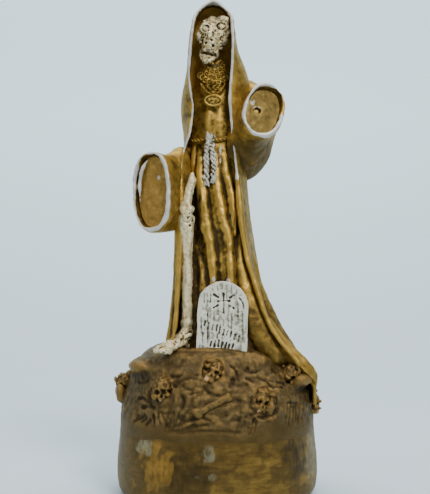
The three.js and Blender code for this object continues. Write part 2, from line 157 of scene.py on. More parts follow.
class Clay:
    """Clay on a grid of points. Each holds its distance from the clay's surface, below zero inside."""

    def __init__(self, low, high, step):
        self.step = step
        self.axes = [np.arange(a, b + step, step, dtype=np.float32) for a, b in zip(low, high)]
        self.depth = np.full([len(axis) for axis in self.axes], FAR, np.float32)

    def part(self, shape, margin):
        bounds = zip(self.axes, shape.low - margin, shape.high + margin)
        cut = tuple(slice(*np.searchsorted(axis, (low, high))) for axis, low, high in bounds)
        return cut, np.ix_(*(axis[s] for axis, s in zip(self.axes, cut)))

    def add(self, shape, soft=0.0):
        cut, places = self.part(shape, soft + 3 * self.step)
        self.depth[cut] = melt(self.depth[cut], shape.distance(*places), soft)
        return self

    def carve(self, shape, soft=0.0):
        cut, places = self.part(shape, soft + 3 * self.step)
        self.depth[cut] = -melt(-self.depth[cut], shape.distance(*places), soft)
        return self


def ball(centre, radii, turn=(0, 0, 0)):
    """An ellipsoid, turned by degrees about X, then Y, then Z."""
    radii = np.array(radii, float)
    spin = np.array(turned_by(turn))
    reach = np.abs(spin) @ radii

    def distance(x, y, z):
        at = (x - centre[0], y - centre[1], z - centre[2])
        near = [sum(spin[j][i] * at[j] for j in range(3)) for i in range(3)]
        scaled = np.sqrt(sum((near[i] / radii[i]) ** 2 for i in range(3)))
        slope = np.sqrt(sum((near[i] / radii[i] ** 2) ** 2 for i in range(3)))
        return scaled * (scaled - 1) / np.maximum(slope, 1e-6)

    return Shape(centre - reach, centre + reach, distance)


def turned_by(turn):
    x, y, z = (math.radians(angle) for angle in turn)
    return Matrix.Rotation(z, 3, "Z") @ Matrix.Rotation(y, 3, "Y") @ Matrix.Rotation(x, 3, "X")


def smooth_path(points, steps):
    """Points along a smooth curve through the given ones; each may carry more values, such as a radius."""
    given = np.array(points, float)
    ends = np.vstack([2 * given[0] - given[1], given, 2 * given[-1] - given[-2]])
    spots = []
    for t in np.linspace(0, len(given) - 1, steps):
        i = min(int(t), len(given) - 2)
        u = t - i
        a, b, c, d = ends[i : i + 4]
        square, cube = 2 * a - 5 * b + 4 * c - d, 3 * b - a - 3 * c + d
        spots.append(0.5 * (2 * b + (c - a) * u + square * u**2 + cube * u**3))
    return np.array(spots)


def stroke(points, steps=None, flat=1.0):
    """A rounded roll of clay along a smooth path of (x, y, z, radius). flat squashes it along Y."""
    path = smooth_path(points, steps or 6 * len(points))
    radius = path[:, 3].max()
    squash = np.array([1, flat, 1])

    def distance(x, y, z):
        best = None
        for start, end in zip(path[:-1], path[1:]):
            along = (end - start)[:3] / squash
            at = (x - start[0], (y - start[1]) / flat, z - start[2])
            length = max(float(along @ along), 1e-9)
            t = np.clip((at[0] * along[0] + at[1] * along[1] + at[2] * along[2]) / length, 0, 1)
            gap = np.sqrt(sum((at[i] - along[i] * t) ** 2 for i in range(3)))
            gap = gap - (start[3] + (end[3] - start[3]) * t)
            best = gap if best is None else np.minimum(best, gap)
        return best * min(flat, 1.0)

    return Shape(path[:, :3].min(0) - radius, path[:, :3].max(0) + radius, distance)


def draped(rows, boxy=1.16):
    """A body from rows of (height, left, right, front, back), each a slightly squared oval."""
    table = smooth_path(rows, 8 * len(rows))
    order = np.argsort(table[:, 0])
    table = table[order]
    power = 2 * boxy

    def distance(x, y, z):
        left, right, front, back = (np.interp(z, table[:, 0], table[:, i]) for i in range(1, 5))
        wide, deep = (right - left) / 2, (back - front) / 2
        across = np.abs(x - (left + right) / 2) / wide
        along = np.abs(y - (front + back) / 2) / deep
        size = (across**power + along**power) ** (1 / power)
        safe = np.maximum(size, 1e-3)
        slope = np.hypot((across / safe) ** (power - 1) / wide, (along / safe) ** (power - 1) / deep)
        side = (size - 1) / np.maximum(slope, 1 / np.maximum(wide, deep))
        ends = np.maximum(table[0, 0] - z, z - table[-1, 0])
        return np.maximum(side, ends)

    low = (table[:, 1].min(), table[:, 3].min(), table[0, 0])
    high = (table[:, 2].max(), table[:, 4].max(), table[-1, 0])
    return Shape(low, high, distance)


# ---- Skins -------------------------------------------------------------------
def skin(clay):
    """The clay's surface as corners in millimetres and four-sided faces that look outwards."""
    depth, inside = clay.depth, clay.depth < 0
    corners = list(itertools.product((0, 1), repeat=3))
    sizes = [n - 1 for n in depth.shape]

    def shifted(values, corner):
        return values[tuple(slice(c, c + n) for c, n in zip(corner, sizes))]

    filled = sum(shifted(inside, c).astype(np.int8) for c in corners)
    mixed = (filled > 0) & (filled < 8)
    number = np.full(mixed.shape, -1, np.int64)
    number[mixed] = np.arange(mixed.sum())
    values = {c: shifted(depth, c)[mixed].astype(float) for c in corners}
    total = np.zeros((len(values[corners[0]]), 3))
    count = np.zeros(len(total))
    for a, b in itertools.combinations(corners, 2):
        if sum(abs(p - q) for p, q in zip(a, b)) != 1:
            continue
        crossed = (values[a] < 0) != (values[b] < 0)
        t = np.where(crossed, values[a] / np.where(crossed, values[a] - values[b], 1), 0)
        spot = np.array(a) + t[:, None] * (np.array(b) - np.array(a))
        total += spot * crossed[:, None]
        count += crossed
    start = np.array([axis[0] for axis in clay.axes])
    points = start + clay.step * (np.argwhere(mixed) + total / count[:, None])
    return points, np.vstack([crossings(inside, number, axis) for axis in range(3)])


def crossings(inside, number, axis):
    """One face for each grid edge along an axis that goes through the clay's surface."""
    order = (axis, (axis + 1) % 3, (axis + 2) % 3)
    inside, number = (np.moveaxis(v, order, (0, 1, 2)) for v in (inside, number))
    before, after = inside[:-1, 1:-1, 1:-1], inside[1:, 1:-1, 1:-1]
    edges = np.argwhere(before != after)
    i, j, k = edges.T
    faces = np.stack([number[i, j, k], number[i, j + 1, k], number[i, j + 1, k + 1], number[i, j, k + 1]], 1)
    backwards = ~before[i, j, k]
    faces[backwards] = faces[backwards, ::-1]
    return faces


def edges_of(faces):
    pairs = np.vstack([faces[:, (i, (i + 1) % 4)] for i in range(4)])
    return np.unique(np.sort(pairs, 1), axis=0)


def smoothed(points, edges, times):
    """The points after each has moved to the middle of its neighbours, so many times over."""
    ends = np.concatenate([edges, edges[:, ::-1]])
    count = np.bincount(ends[:, 0], minlength=len(points)).astype(float)
    for _ in range(times):
        points = np.stack(
            [np.bincount(ends[:, 0], points[ends[:, 1], i], len(points)) / count for i in range(3)], 1
        )
    return points


def outward(points, faces):
    """The direction that each point of a skin looks in."""
    a, b, c, d = (points[faces[:, i]] for i in range(4))
    across = np.cross(c - a, d - b)
    total = np.stack(
        [np.bincount(faces.ravel(), np.repeat(across[:, i], 4), len(points)) for i in range(3)], 1
    )
    return total / np.maximum(np.linalg.norm(total, axis=1), 1e-9)[:, None]


def sculpted(name, clay, lumps=(), masks=None, detail=None, relief=0.2):
    """A mesh object from clay. lumps are the (size, depth, seed) of its roughness, detail is a function that
    gives each point a height of its own, and masks name the values that its paint reads."""
    points, faces = skin(clay)
    edges = edges_of(faces)
    points = smoothed(points, edges, 1)
    facing = outward(points, faces)
    height = sum(depth * rough(points, size, seed) for size, depth, seed in lumps)
    if detail:
        height = height + detail(points, facing)
    if lumps or detail:
        points = points + facing * np.asarray(height)[:, None]
    return piece_from(name, points, faces, edges, masks, relief)


def piece_from(name, points, faces, edges, masks, relief):
    """A mesh object of a skin. Its "relief" is above one half on ridges and below it in hollows, and reaches
    1 or 0 at a height or depth of so many millimetres; "shade" does the same for broad forms."""
    mesh = bpy.data.meshes.new(name)
    mesh.from_pydata((points * MM).tolist(), [], faces.tolist())
    mesh.polygons.foreach_set("use_smooth", np.ones(len(faces), bool))
    facing = outward(points, faces)
    for attribute, times, scale in (("relief", 6, relief), ("shade", 40, 1.2)):
        away = ((points - smoothed(points, edges, times)) * facing).sum(1)
        store(mesh, attribute, 0.5 + 0.5 * np.clip(away / scale, -1, 1))
    for attribute, function in (masks or {}).items():
        store(mesh, attribute, np.clip(function(points, facing), 0, 1))
    piece = bpy.data.objects.new(name, mesh)
    show(piece)
    return piece


def store(mesh, name, values):
    attribute = mesh.attributes.new(name, "FLOAT", "POINT")
    attribute.data.foreach_set("value", np.asarray(values, np.float32))


# ---- Mantle ------------------------------------------------------------------
# Rows of (height, left, right, front, back). Left and right are as seen from the front.
MANTLE = [
    (54, -38, 58.2, -40, 36),
    (62, -36, 58.2, -39, 36),
    (68, -34.5, 57.6, -38, 35.5),
    (75, -32.5, 52, -37, 35),
    (84, -30, 42.5, -36, 33),
    (92, -28, 36.4, -35, 31),
    (102, -26.2, 31.6, -34, 28.5),
    (116, -24.8, 27.4, -32, 26),
    (132, -23.4, 24.5, -30, 24),
    (150, -22.8, 21.6, -28, 22.5),
    (172, -21.4, 19, -27, 21.5),
    (192, -20.2, 17.8, -26, 21),
    (210, -19.8, 18, -26, 21),
    (222, -21.4, 19.4, -26, 21),
    (231, -21.7, 20.6, -26.5, 20.5),
    (239, -20.6, 20.8, -27, 20),
    (248, -18.4, 18.8, -28, 19.5),
    (255, -17.6, 16, -29, 19),
    (262, -17, 12.8, -30, 18.5),
    (270, -16.2, 11, -31, 17.5),
    (278, -14.6, 9.5, -31, 15.5),
    (284, -11.9, 7, -28, 12),
    (288.6, -8.2, 3.7, -22, 7),
    (291.6, -4.4, -0.2, -15, -1),
]
MANTLE_WALL = 2.2

# The two front edges of the mantle: height, left edge, right edge.
MANTLE_OPENING = [
    (56, -32, 62),
    (70, -29, 56),
    (78, -27.5, 47),
    (88, -25.5, 38.6),
    (98, -23.5, 31),
    (110, -22.4, 25.6),
    (126, -21.6, 20.4),
    (140, -20.8, 16),
    (154, -20.4, 13.8),
    (170, -20.2, 12),
    (184, -20.2, 11.2),
    (194, -20.4, 10),
    (200, -19, 9.3),
    (206, -17.1, 8.8),
    (212, -15, 8.2),
    (220, -13.6, 7.4),
    (228, -12.9, 6.9),
    (236, -14.6, 6.9),
    (246, -15.6, 7.6),
    (256, -15.2, 8.2),
    (266, -14.3, 8.6),
    (275, -13.2, 8.1),
    (280, -12, 7.6),
    (284, -10.4, 5.8),
    (286.6, -8.6, 3.6),
    (288.2, -6, 0.8),
    (288.8, -3, -2),
]
# How far forward the front edges stand at each height.
MANTLE_EDGE = [
    (54, -39), (70, -37.5), (90, -34), (120, -29.5), (160, -25.5), (200, -22.5), (230, -22),
    (262, -23.5), (278, -22), (287, -17.5), (296, -12),
]
# How far back the opening cuts at each height; lower down it leaves the side of the tail whole.
OPENING_DEPTH = [(40, -23), (92, -23), (112, -4), (300, -4)]
OPENING_BACK = -4


def opening():
    """The gap between the mantle's two front edges."""
    table = np.array(MANTLE_OPENING, float)
    depth = np.array(OPENING_DEPTH, float)

    def distance(x, y, z):
        left = np.interp(z, table[:, 0], table[:, 1])
        right = np.interp(z, table[:, 0], table[:, 2])
        back = np.interp(z, depth[:, 0], depth[:, 1])
        sides = np.maximum(left - x, x - right)
        return np.maximum(sides, np.maximum(y - back, z - table[-1, 0]))

    return Shape((-70, -80, 40), (70, OPENING_BACK, table[-1, 0]), distance)


def in_front_of_edges():
    """All that stands further forward than the mantle's front edges."""
    line = smooth_path(MANTLE_EDGE, 80)

    def distance(x, y, z):
        return y - np.interp(z, line[:, 0], line[:, 1]) + 0 * x

    return Shape((-90, -90, 0), (90, 0, 320), distance)


MANTLE_MIDDLE = 2.0  # where the front and back halves of the mantle's section meet
MANTLE_POWER = 2.3  # 2 would be an oval; more is squarer


def mantle_fronts():
    """How far forward each half of the mantle would reach if it went on past its front edge: rows of (height,
    left half, right half), so that its walls pass just outside the edges."""
    edge = np.array(MANTLE_EDGE, float)
    gap = np.array(MANTLE_OPENING, float)
    for height, left, right, front, _ in MANTLE:
        reach = [front, front]
        if height < 284:
            forward = MANTLE_MIDDLE - np.interp(height, edge[:, 0], edge[:, 1])
            for side in (0, 1):
                outer = np.interp(height, gap[:, 0], gap[:, 1 + side]) + (1.7 if side else -1.7)
                across = min(abs(outer - (left + right) / 2) / ((right - left) / 2), 0.93)
                reach[side] = MANTLE_MIDDLE - forward / (1 - across**MANTLE_POWER) ** (1 / MANTLE_POWER)
        yield height, *reach


def mantle_body(wall=0.0):
    """The mantle as a solid, or its hollow where wall is the thickness of the cloth."""
    table = smooth_path(MANTLE, 8 * len(MANTLE))
    table = table[np.argsort(table[:, 0])]
    fronts = np.array(list(mantle_fronts()))

    def distance(x, y, z):
        left, right, back = (np.interp(z, table[:, 0], table[:, i]) for i in (1, 2, 4))
        ahead = np.where(x < (left + right) / 2, np.interp(z, fronts[:, 0], fronts[:, 1]),
                         np.interp(z, fronts[:, 0], fronts[:, 2]))
        wide = (right - left) / 2 - wall
        deep = np.where(y < MANTLE_MIDDLE, MANTLE_MIDDLE - ahead, back - MANTLE_MIDDLE) - wall
        wide, deep = np.maximum(wide, 0.6), np.maximum(deep, 0.6)
        across = np.abs(x - (left + right) / 2) / wide
        along = np.abs(y - MANTLE_MIDDLE) / deep
        size = (across**MANTLE_POWER + along**MANTLE_POWER) ** (1 / MANTLE_POWER)
        safe = np.maximum(size, 1e-3)
        rise = MANTLE_POWER - 1
        slope = np.hypot((across / safe) ** rise / wide, (along / safe) ** rise / deep)
        side = (size - 1) / np.maximum(slope, 1 / np.maximum(wide, deep))
        return np.maximum(side, z - table[-1, 0] + 1.4 * wall)

    return Shape((-64, -90, 40), (64, 44, 297), distance)


# How far back the hollow reaches at each height, once the hood is filled behind the head.
HOOD_FILL = np.array([(222, 30), (236, -2), (284, -4), (292, -9)], float)


def mantle_hollow():
    """The space inside the mantle. The hood is filled in behind the head."""
    body = mantle_body(MANTLE_WALL)

    def distance(x, y, z):
        filling = np.interp(z, HOOD_FILL[:, 0], HOOD_FILL[:, 1])
        return np.maximum(body.distance(x, y, z), y - filling)

    return Shape(body.low, body.high, distance)


def mantle_edge(side, low, high, count, out):
    """Points along one front edge, from low to high; out is how far outside the opening they lie."""
    edge = np.array(MANTLE_EDGE, float)
    gap = np.array(MANTLE_OPENING, float)
    for height in np.linspace(low, high, count):
        x = np.interp(height, gap[:, 0], gap[:, 1 + side]) + (out if side else -out)
        yield x, np.interp(height, edge[:, 0], edge[:, 1]), height


# Ridges and hollows of the cloth: points of (x, y, z, radius).
MANTLE_FOLDS = [
    [(-21.6, -19, 196, 1.3), (-22.2, -21, 178, 1.9), (-22.8, -22.5, 150, 1.6), (-24.4, -24, 118, 1.6),
     (-27.6, -26, 92, 1.6)],
]
MANTLE_TAIL = [(30, -24, 101, 3), (36, -26, 91.5, 4), (43.5, -27, 83, 4.6), (50.5, -26, 76, 4.6),
               (54.6, -23, 71.5, 3.8)]
BACK_FOLDS = 7


def back_folds():
    """Soft vertical folds, evenly spaced round the back from the shoulders to the hem."""
    for i in range(BACK_FOLDS):
        angle = math.radians(-20 + 220 * i / (BACK_FOLDS - 1))
        sway, sink = 2 + 1.4 * math.sin(2.3 * i), 0.9
        points = []
        for height, left, right, front, back in MANTLE[2:12]:
            x = (left + right) / 2 + sink * (right - left) / 2 * math.cos(angle)
            y = (front + back) / 2 + sink * (back - front) / 2 * math.sin(angle)
            fade = min(1, max(0, (186 - 8 * (i % 3) - height) / 70))
            x += sway * fade * math.sin(height / 27 + 1.7 * i)
            points.append((x, y, height, 0.6 + (2.5 + 1.1 * (i % 2)) * fade))
        yield points


def mantle():
    clay = Clay((-42, -44, 54), (62, 40, 297), 0.75)
    clay.add(mantle_body())
    for points in MANTLE_FOLDS:
        clay.add(stroke(points), 5)
    for points in back_folds():
        clay.add(stroke(points), 3)
    clay.carve(mantle_hollow(), 1.2)
    clay.carve(opening(), 1.0)
    clay.carve(in_front_of_edges(), 0.8)
    rim = list(mantle_edge(0, 198, 288.6, 14, 0.7)) + list(mantle_edge(1, 288.6, 184, 14, 0.7))
    clay.add(stroke([(x, y + 0.3, z, 0.8) for x, y, z in rim], 90), 0.6)
    for side, low, high in ((0, 100, 198), (1, 80, 186)):
        hem = mantle_edge(side, low, high, 10, 0.8)
        clay.add(stroke([(x, y + 0.9, z, 1.3) for x, y, z in hem], 50), 2.4)
    clay.add(stroke(MANTLE_TAIL, 30, flat=0.7), 4)
    return sculpted(
        "mantle", clay,
        lumps=[(16, 0.4, 11), (5, 0.18, 13), (2.2, 0.06, 12)], relief=0.32,
        masks={"silver": mantle_rim, "dark": tail_shade, "lining": hood_inside_painted_light},
    )


def edge_gap(points):
    """Distance of each point from the mantle's front edges, positive outside the opening."""
    table = np.array(MANTLE_OPENING, float)
    x, z = points[:, 0], points[:, 2]
    left = np.interp(z, table[:, 0], table[:, 1])
    right = np.interp(z, table[:, 0], table[:, 2])
    side = np.where(x < (left + right) / 2, left - x, x - right)
    over = z - table[-1, 0]
    return np.maximum(side, over)


def mantle_rim(points, facing):
    """Silver paint on the front edges and over the hood's top, down to just under the belt."""
    line = np.array(MANTLE_EDGE, float)
    ahead = np.interp(points[:, 2], line[:, 0], line[:, 1]) - points[:, 1]
    gap = edge_gap(points)
    top = between(points[:, 2], 276, 284)
    forward = between(ahead, -2.0 - 6 * top, -1.2 - 6 * top)
    forward = forward * between(-facing[:, 1], 0.1 - 1.0 * top, 0.4 - 1.0 * top)
    band = np.maximum(between(gap, -0.9, -0.4) * between(-gap, -1.7, -1.2), top)
    lowest = np.where(points[:, 0] < 0, 199, 183)
    return forward * band * between(points[:, 2], lowest, lowest + 3)


def hood_inside_painted_light(points, facing):
    """Painted light: 1 inside the hood and the mantle, where a brighter plain gold stands in for light
    falling in.
    """
    inwards = -(facing[:, 0] * points[:, 0] + facing[:, 1] * (points[:, 1] + 4))
    inside = between(inwards, 0, 6) * between(points[:, 1], -22, -18)
    filled = between(points[:, 1], -9, -6) * between(-points[:, 1], -4,
                                                     -1) * between(-facing[:, 1], 0.3, 0.7)
    return np.maximum(inside, filled * between(points[:, 2], 232, 238))


def tail_shade(points, facing):
    """Painted shade over the lower part of the tail."""
    return 0.5 * between(points[:, 0], 22, 32) * between(-points[:, 2], -104, -88)


# ---- Tunic -------------------------------------------------------------------
TUNIC = [
    (52, -33, 38, -34, 30),
    (70, -30.5, 37, -33, 30),
    (88, -27, 32, -32.5, 28),
    (104, -23.5, 27, -30.8, 25.5),
    (124, -21.6, 22.6, -27.8, 23),
    (146, -20, 18.4, -24.8, 20),
    (166, -18.8, 16.6, -22.2, 19),
    (186, -17.6, 15.2, -19.6, 18.4),
    (205, -17, 15, -17, 18.2),
    (220, -18.6, 16.4, -16, 18),
    (232, -18.6, 17.4, -14.6, 17.4),
    (240, -14, 12, -12.6, 12),
    (246, -7, 4, -8, 7),
]

# Ridges of the skirt's folds, from the belt down to the hem.
SKIRT_RIDGES = [
    [(-9, -14.6, 202, 1.6), (-9.4, -17.4, 192, 2.4), (-9.2, -20.2, 182, 2.8), (-8, -22, 172, 2.9),
     (-6.6, -23.4, 160, 3), (-3.8, -24.8, 150, 2.9), (-3, -26.4, 139, 2.5), (-1.9, -28.4, 126, 2.3),
     (-1, -31, 108, 2.3), (-1, -33, 90, 2.3)],
    [(-5.4, -16, 200, 1.1), (-4.6, -18.6, 190, 1.4), (-3.2, -20.8, 179, 1.7), (-1.8, -23, 169, 1.5),
     (-0.4, -24, 160, 1.5), (1.7, -25, 150, 1.5), (3, -26.4, 139, 1.5), (3.6, -28, 126, 1.5),
     (4.4, -30.6, 106, 1.5)],
    [(-1.8, -15.6, 204, 1.6), (-1.2, -18, 193, 2.2), (-0.2, -20.4, 182, 2.8), (1.3, -22.2, 172, 3),
     (3.4, -24, 162, 2.9), (6.1, -25.2, 152, 3), (7.2, -26.6, 141, 2.9), (7.6, -28.6, 128, 2.9),
     (8.6, -31, 110, 2.8), (10.6, -33, 90, 2.8)],
    [(3, -14, 209, 1.2), (3.8, -16.6, 200, 1.8), (4.8, -18.8, 189, 2.3), (7.6, -20.8, 179, 2.3),
     (9.2, -22.4, 169, 2.3), (9.3, -23.6, 160, 1.9), (10.2, -24, 153, 1)],
    [(7.6, -13.6, 208, 1.2), (9.6, -16.8, 190, 1.8), (11.6, -18.8, 176, 2)],
    [(13.2, -21.6, 152, 1.2), (13.6, -24, 136, 2.2), (15.4, -26, 122, 2.6), (18.4, -28, 108, 2.8),
     (23, -29, 94, 2.8), (29, -27, 80, 2.8)],
    [(-10.4, -24, 140, 0.9), (-8.6, -25.4, 132, 1.7), (-8.2, -27, 120, 1.9), (-8.6, -29, 106, 1.8),
     (-9, -31, 92, 1.8)],
    [(-12.6, -12.4, 206, 1.2), (-13.6, -14.4, 196, 1.6), (-13.2, -16.4, 186, 1.4)],
]
LEG_HOLLOW = [
    (-11.6, -20.4, 184, 1.4), (-12.4, -22, 172, 2.6), (-12, -23.4, 156, 3.2), (-11.4, -25, 140, 3.2),
    (-10.8, -27, 122, 2.8), (-10.8, -30, 104, 2.8), (-11, -33, 90, 2.8),
]
# Hollows between the ridges.
SKIRT_HOLLOWS = [
    [(-4.8, -21.2, 178, 0.8), (-4.4, -23.6, 166, 1.1), (-1.8, -25, 154, 1.1), (-0.4, -27, 142, 1.2),
     (0.4, -29, 126, 1.2)],
    [(3.4, -20.8, 184, 0.9), (4.4, -22.6, 174, 1.1), (6.6, -24.2, 163, 1.1), (8.8, -25, 156, 1)],
    [(11.6, -21.6, 176, 1.2), (11.2, -24, 160, 1.8), (11, -26, 146, 2.4), (11.6, -28.4, 130, 2.6),
     (13.2, -31, 112, 2.6)],
    [(6.6, -17, 200, 0.7), (8.8, -19, 188, 0.9), (11, -21, 176, 0.9)],
    [(4.9, -26.6, 148, 0.8), (5.3, -28.6, 132, 0.9), (6, -31, 114, 0.9)],
]
# The cloth that spreads from the skirt to the mantle's right edge.
SKIRT_SPREAD = [
    [(8.6, -16.4, 182, 1.6), (9.6, -18, 166, 2.2), (11, -19, 150, 2.6), (14, -20.4, 136, 4),
     (17, -21.8, 122, 5.4), (21, -23.4, 108, 6.4), (26, -24.4, 95, 7), (33, -24.4, 84, 7)],
    [(14, -13, 158, 3), (18, -14, 138, 5), (22, -16, 118, 6.5), (29, -18, 100, 8), (38, -19, 84, 8.5),
     (46, -19, 74, 7)],
]
CHEST_PANEL = ball((-2, -12.6, 218), (7.6, 4.6, 15))
CHEST_FOLDS = [
    [(-4.6, -16.4, 230, 0.6), (-5.4, -17.2, 221, 0.9), (-5.8, -17, 212, 0.9)],
    [(0.8, -16.6, 230, 0.6), (1.4, -17.2, 221, 0.9), (1.8, -17, 212, 0.9)],
]


def tunic():
    clay = Clay((-40, -40, 56), (56, 34, 249), 0.7)
    clay.add(draped(TUNIC))
    clay.add(CHEST_PANEL, 4)
    for points in CHEST_FOLDS:
        clay.add(stroke([(x, y + 1.1, z, radius) for x, y, z, radius in points]), 2.2)
    for points in SKIRT_SPREAD:
        clay.add(stroke(points), 4)
    clay.carve(stroke(LEG_HOLLOW), 2.5)
    for points in SKIRT_RIDGES:
        clay.add(stroke([(x, y + 0.9, z, 1.22 * radius) for x, y, z, radius in points], flat=0.85), 1.0)
    for points in SKIRT_HOLLOWS:
        clay.carve(stroke([(x, y - 0.7, z, 0.7 * radius) for x, y, z, radius in points]), 0.9)
    return sculpted(
        "tunic", clay,
        lumps=[(9, 0.35, 21), (3.4, 0.2, 23), (1.8, 0.08, 22)],
        detail=gouges,
        masks={"silver": stray_silver, "dark": leg_recess_painted_shade},
    )


def gouges(points, facing):
    """Rough tool marks in the recess behind the leg."""
    x, z = points[:, 0], points[:, 2]
    inside = between(x, -16, -13) * between(-x, 6.5, 9) * between(z, 88, 100) * between(-z, -190, -176)
    return inside * 0.8 * rough(points * [1, 1, 0.45], 2.6, 31) * between(-facing[:, 1], 0, 0.4)


# Painted shade in the recess behind the leg and at the sides of the chest panel; a darker brown also on the
# cloth that spreads to the mantle's right edge.
def leg_recess_painted_shade(points, facing):
    x, z = points[:, 0], points[:, 2]
    leg = between(x, -19, -15) * between(-x, 7.5, 10.5) * between(z, 84, 95) * between(-z, -188, -170)
    chest = between(np.abs(x + 2.2), 6, 10) * between(z, 206, 211) * between(-z, -246, -240)
    spread = between(x, 12, 17) * between(-z, -128, -108)
    return np.maximum(leg, np.maximum(0.25 * chest, 0.7 * spread))


def stray_silver(points, facing):
    """A streak of silver beside the belt's tails, and two drips above the gravestone."""
    x, z = points[:, 0], points[:, 2]
    streak = between(1.2 + 0.8 * speckle(points, 2.5, 32) - np.abs(x - 2), 0, 0.7)
    streak = streak * between(z, 192, 196) * between(-z, -206, -203)
    drips = sum(between(1.5 - np.hypot(x - px, (z - pz) / 1.3), 0, 0.8) for px,
                pz in ((-2, 127.4), (6.3, 126.6)))
    return (0.7 * streak + drips) * between(-facing[:, 1], 0.2, 0.6)


# ---- Sleeves -----------------------------------------------------------------
class Cuff:
    """A sleeve's mouth, turned by its roll about Y, then its pitch about X, then its yaw about Z. Its own
    axes are across, back from the mouth, and up."""

    def __init__(self, place, pitch, roll, yaw, recess):
        self.place = np.array(place, float)
        steps = ((yaw, "Z"), (pitch, "X"), (roll, "Y"))
        spin = Matrix.Identity(3)
        for angle, axis in steps:
            spin = spin @ Matrix.Rotation(math.radians(angle), 3, axis)
        self.turn = [math.degrees(angle) for angle in spin.to_euler("XYZ")]
        self.spin = np.array(spin)
        self.recess = recess

    def at(self, across, back, up):
        return self.place + self.spin @ np.array([across, back, up], float)

    def local(self, points):
        return (points - self.place) @ self.spin


def tube(cuff, rows, low, high, boxy=1.16):
    """A sleeve's body from rows of (distance behind the mouth, left, right, bottom, top)."""
    body = draped(rows, boxy)
    spin = cuff.spin

    def distance(x, y, z):
        at = (x - cuff.place[0], y - cuff.place[1], z - cuff.place[2])
        across, back, up = (sum(spin[j][i] * at[j] for j in range(3)) for i in range(3))
        return body.distance(across, up, back)

    return Shape(low, high, distance)


RIGHT_CUFF = Cuff((-37.8, -33, 177.4), -4, -4, -27, 6)
LEFT_CUFF = Cuff((27.4, -30.5, 225.2), -20, 25, 20, 6)
RIGHT_SLEEVE_ROWS = [
    (0, -12, 12, -22.6, 22.8), (3, -12.6, 12.4, -23, 23), (9, -12, 12, -22.4, 22.6),
    (18, -11, 11.4, -21.6, 22), (30, -8, 10.6, -19, 20.5), (44, -2, 9, -14, 15),
]
RIGHT_MOUTH_ROWS = [(-8, -10.8, 10.2, -20.9, 21), (0, -10.8, 10.2, -20.9, 21), (6, -9.6, 9.4, -20, 20),
                    (6.4, -9.4, 9.2, -19.8, 19.8)]
LEFT_SLEEVE_ROWS = [
    (0, -11.4, 11.6, -18.6, 16.6), (2.6, -12, 12.2, -19.2, 17.1), (8, -12, 12, -19.4, 16.4),
    (16, -12, 12.4, -20, 15), (28, -12, 11, -24, 11),
]
LEFT_MOUTH_ROWS = [(-8, -10, 10.2, -17.2, 15.2), (0, -10, 10.2, -17.2, 15.2), (6, -9.6, 9.6, -16.6, 14.6),
                   (6.4, -9.4, 9.4, -16.4, 14.4)]


# A bead of silver paint inside the right cuff: across, up, radius.
CRESCENT = [(-3, 18.4, 0.6), (-6, 14.6, 0.9), (-7.8, 9, 1.0), (-8.6, 2, 1.0), (-8.2, -5, 0.6)]

RIGHT_SLEEVE_FOLDS = [
    [(-29, -27, 196, 1), (-25, -22, 192, 1.8), (-22, -17, 184, 1.8), (-21.4, -16, 172, 1.4)],
    [(-28.6, -28, 160, 1), (-25.6, -24.4, 164, 1.6), (-23.6, -22, 174, 1.6), (-22.8, -20, 186, 1.4),
     (-21.6, -18, 197, 1.4)],
    [(-27.4, -20, 198, 1.2), (-22, -14, 201, 1.8), (-16, -8, 203, 2)],
]


def right_sleeve():
    low, high = (-54, -46, 148), (-8, 8, 206)
    clay = Clay(low, high, 0.6)
    clay.add(tube(RIGHT_CUFF, RIGHT_SLEEVE_ROWS, low, high, 1.25))
    clay.add(ball((-24, -12, 186), (8.6, 12, 19), (0, 10, -12)), 5)
    for points in RIGHT_SLEEVE_FOLDS:
        clay.add(stroke(points), 2.5)
    clay.carve(tube(RIGHT_CUFF, RIGHT_MOUTH_ROWS, (-54, -50, 148), (-24, -20, 206), 1.3), 0.8)
    bead = smooth_path([(*RIGHT_CUFF.at(x, 2.4, z), r) for x, z, r in CRESCENT], 40)
    clay.add(stroke(bead), 0.6)
    return sculpted(
        "right_sleeve", clay, lumps=[(9, 0.6, 41), (4.4, 0.22, 43), (1.8, 0.08, 42)], relief=0.34,
        masks={"silver": lambda p, n: mouth_paint(RIGHT_CUFF, p, 99, bead[:, :3])},
    )


LEFT_SLEEVE_FOLDS = [
    [(15, -20, 212, 1.2), (16, -19, 206, 2), (18, -16.5, 200, 1.8), (21, -14, 194, 1.2)],
]


def left_sleeve():
    low, high = (6, -46, 180), (44, 20, 248)
    clay = Clay(low, high, 0.6)
    clay.add(tube(LEFT_CUFF, LEFT_SLEEVE_ROWS, low, high))
    clay.add(ball((20, -3, 212.5), (14.8, 17, 28.6), (8, 14, 0)), 6)
    clay.add(ball((17, 2, 232), (12, 12, 14)), 8)
    for points in LEFT_SLEEVE_FOLDS:
        clay.add(stroke(points), 2)
    clay.carve(tube(LEFT_CUFF, LEFT_MOUTH_ROWS, low, high), 0.8)
    return sculpted(
        "left_sleeve", clay, lumps=[(9, 0.6, 51), (4.4, 0.22, 53), (1.8, 0.08, 52)], relief=0.34,
        masks={"silver": lambda p, n: mouth_paint(LEFT_CUFF, p, 5.5), "dark": drape_shade},
    )


def drape_shade(points, facing):
    """Painted shade: smooth darker brown over the sleeve's hanging part."""
    return between(-points[:, 2], -211, -203)


def mouth_paint(cuff, points, left_of, bead=()):
    """Silver on the mouth's rim, left out on the upper side beyond left_of, and on a bead inside it."""
    local = cuff.local(points)
    reach = 0.8 + 1.0 * between(-local[:, 0], 7, 9)
    rim = between(reach - local[:, 1] + 0.7 * rough(points, 3, 74), -0.4, 0.3)
    gap = between(local[:, 0] - left_of, 0, 1.6) * between(local[:, 2], -1, 2)
    paint = rim * (1 - gap)
    for place_at in bead:
        paint = np.maximum(paint, between(1.5 - np.linalg.norm(points - place_at, axis=1), 0, 0.4))
    return paint


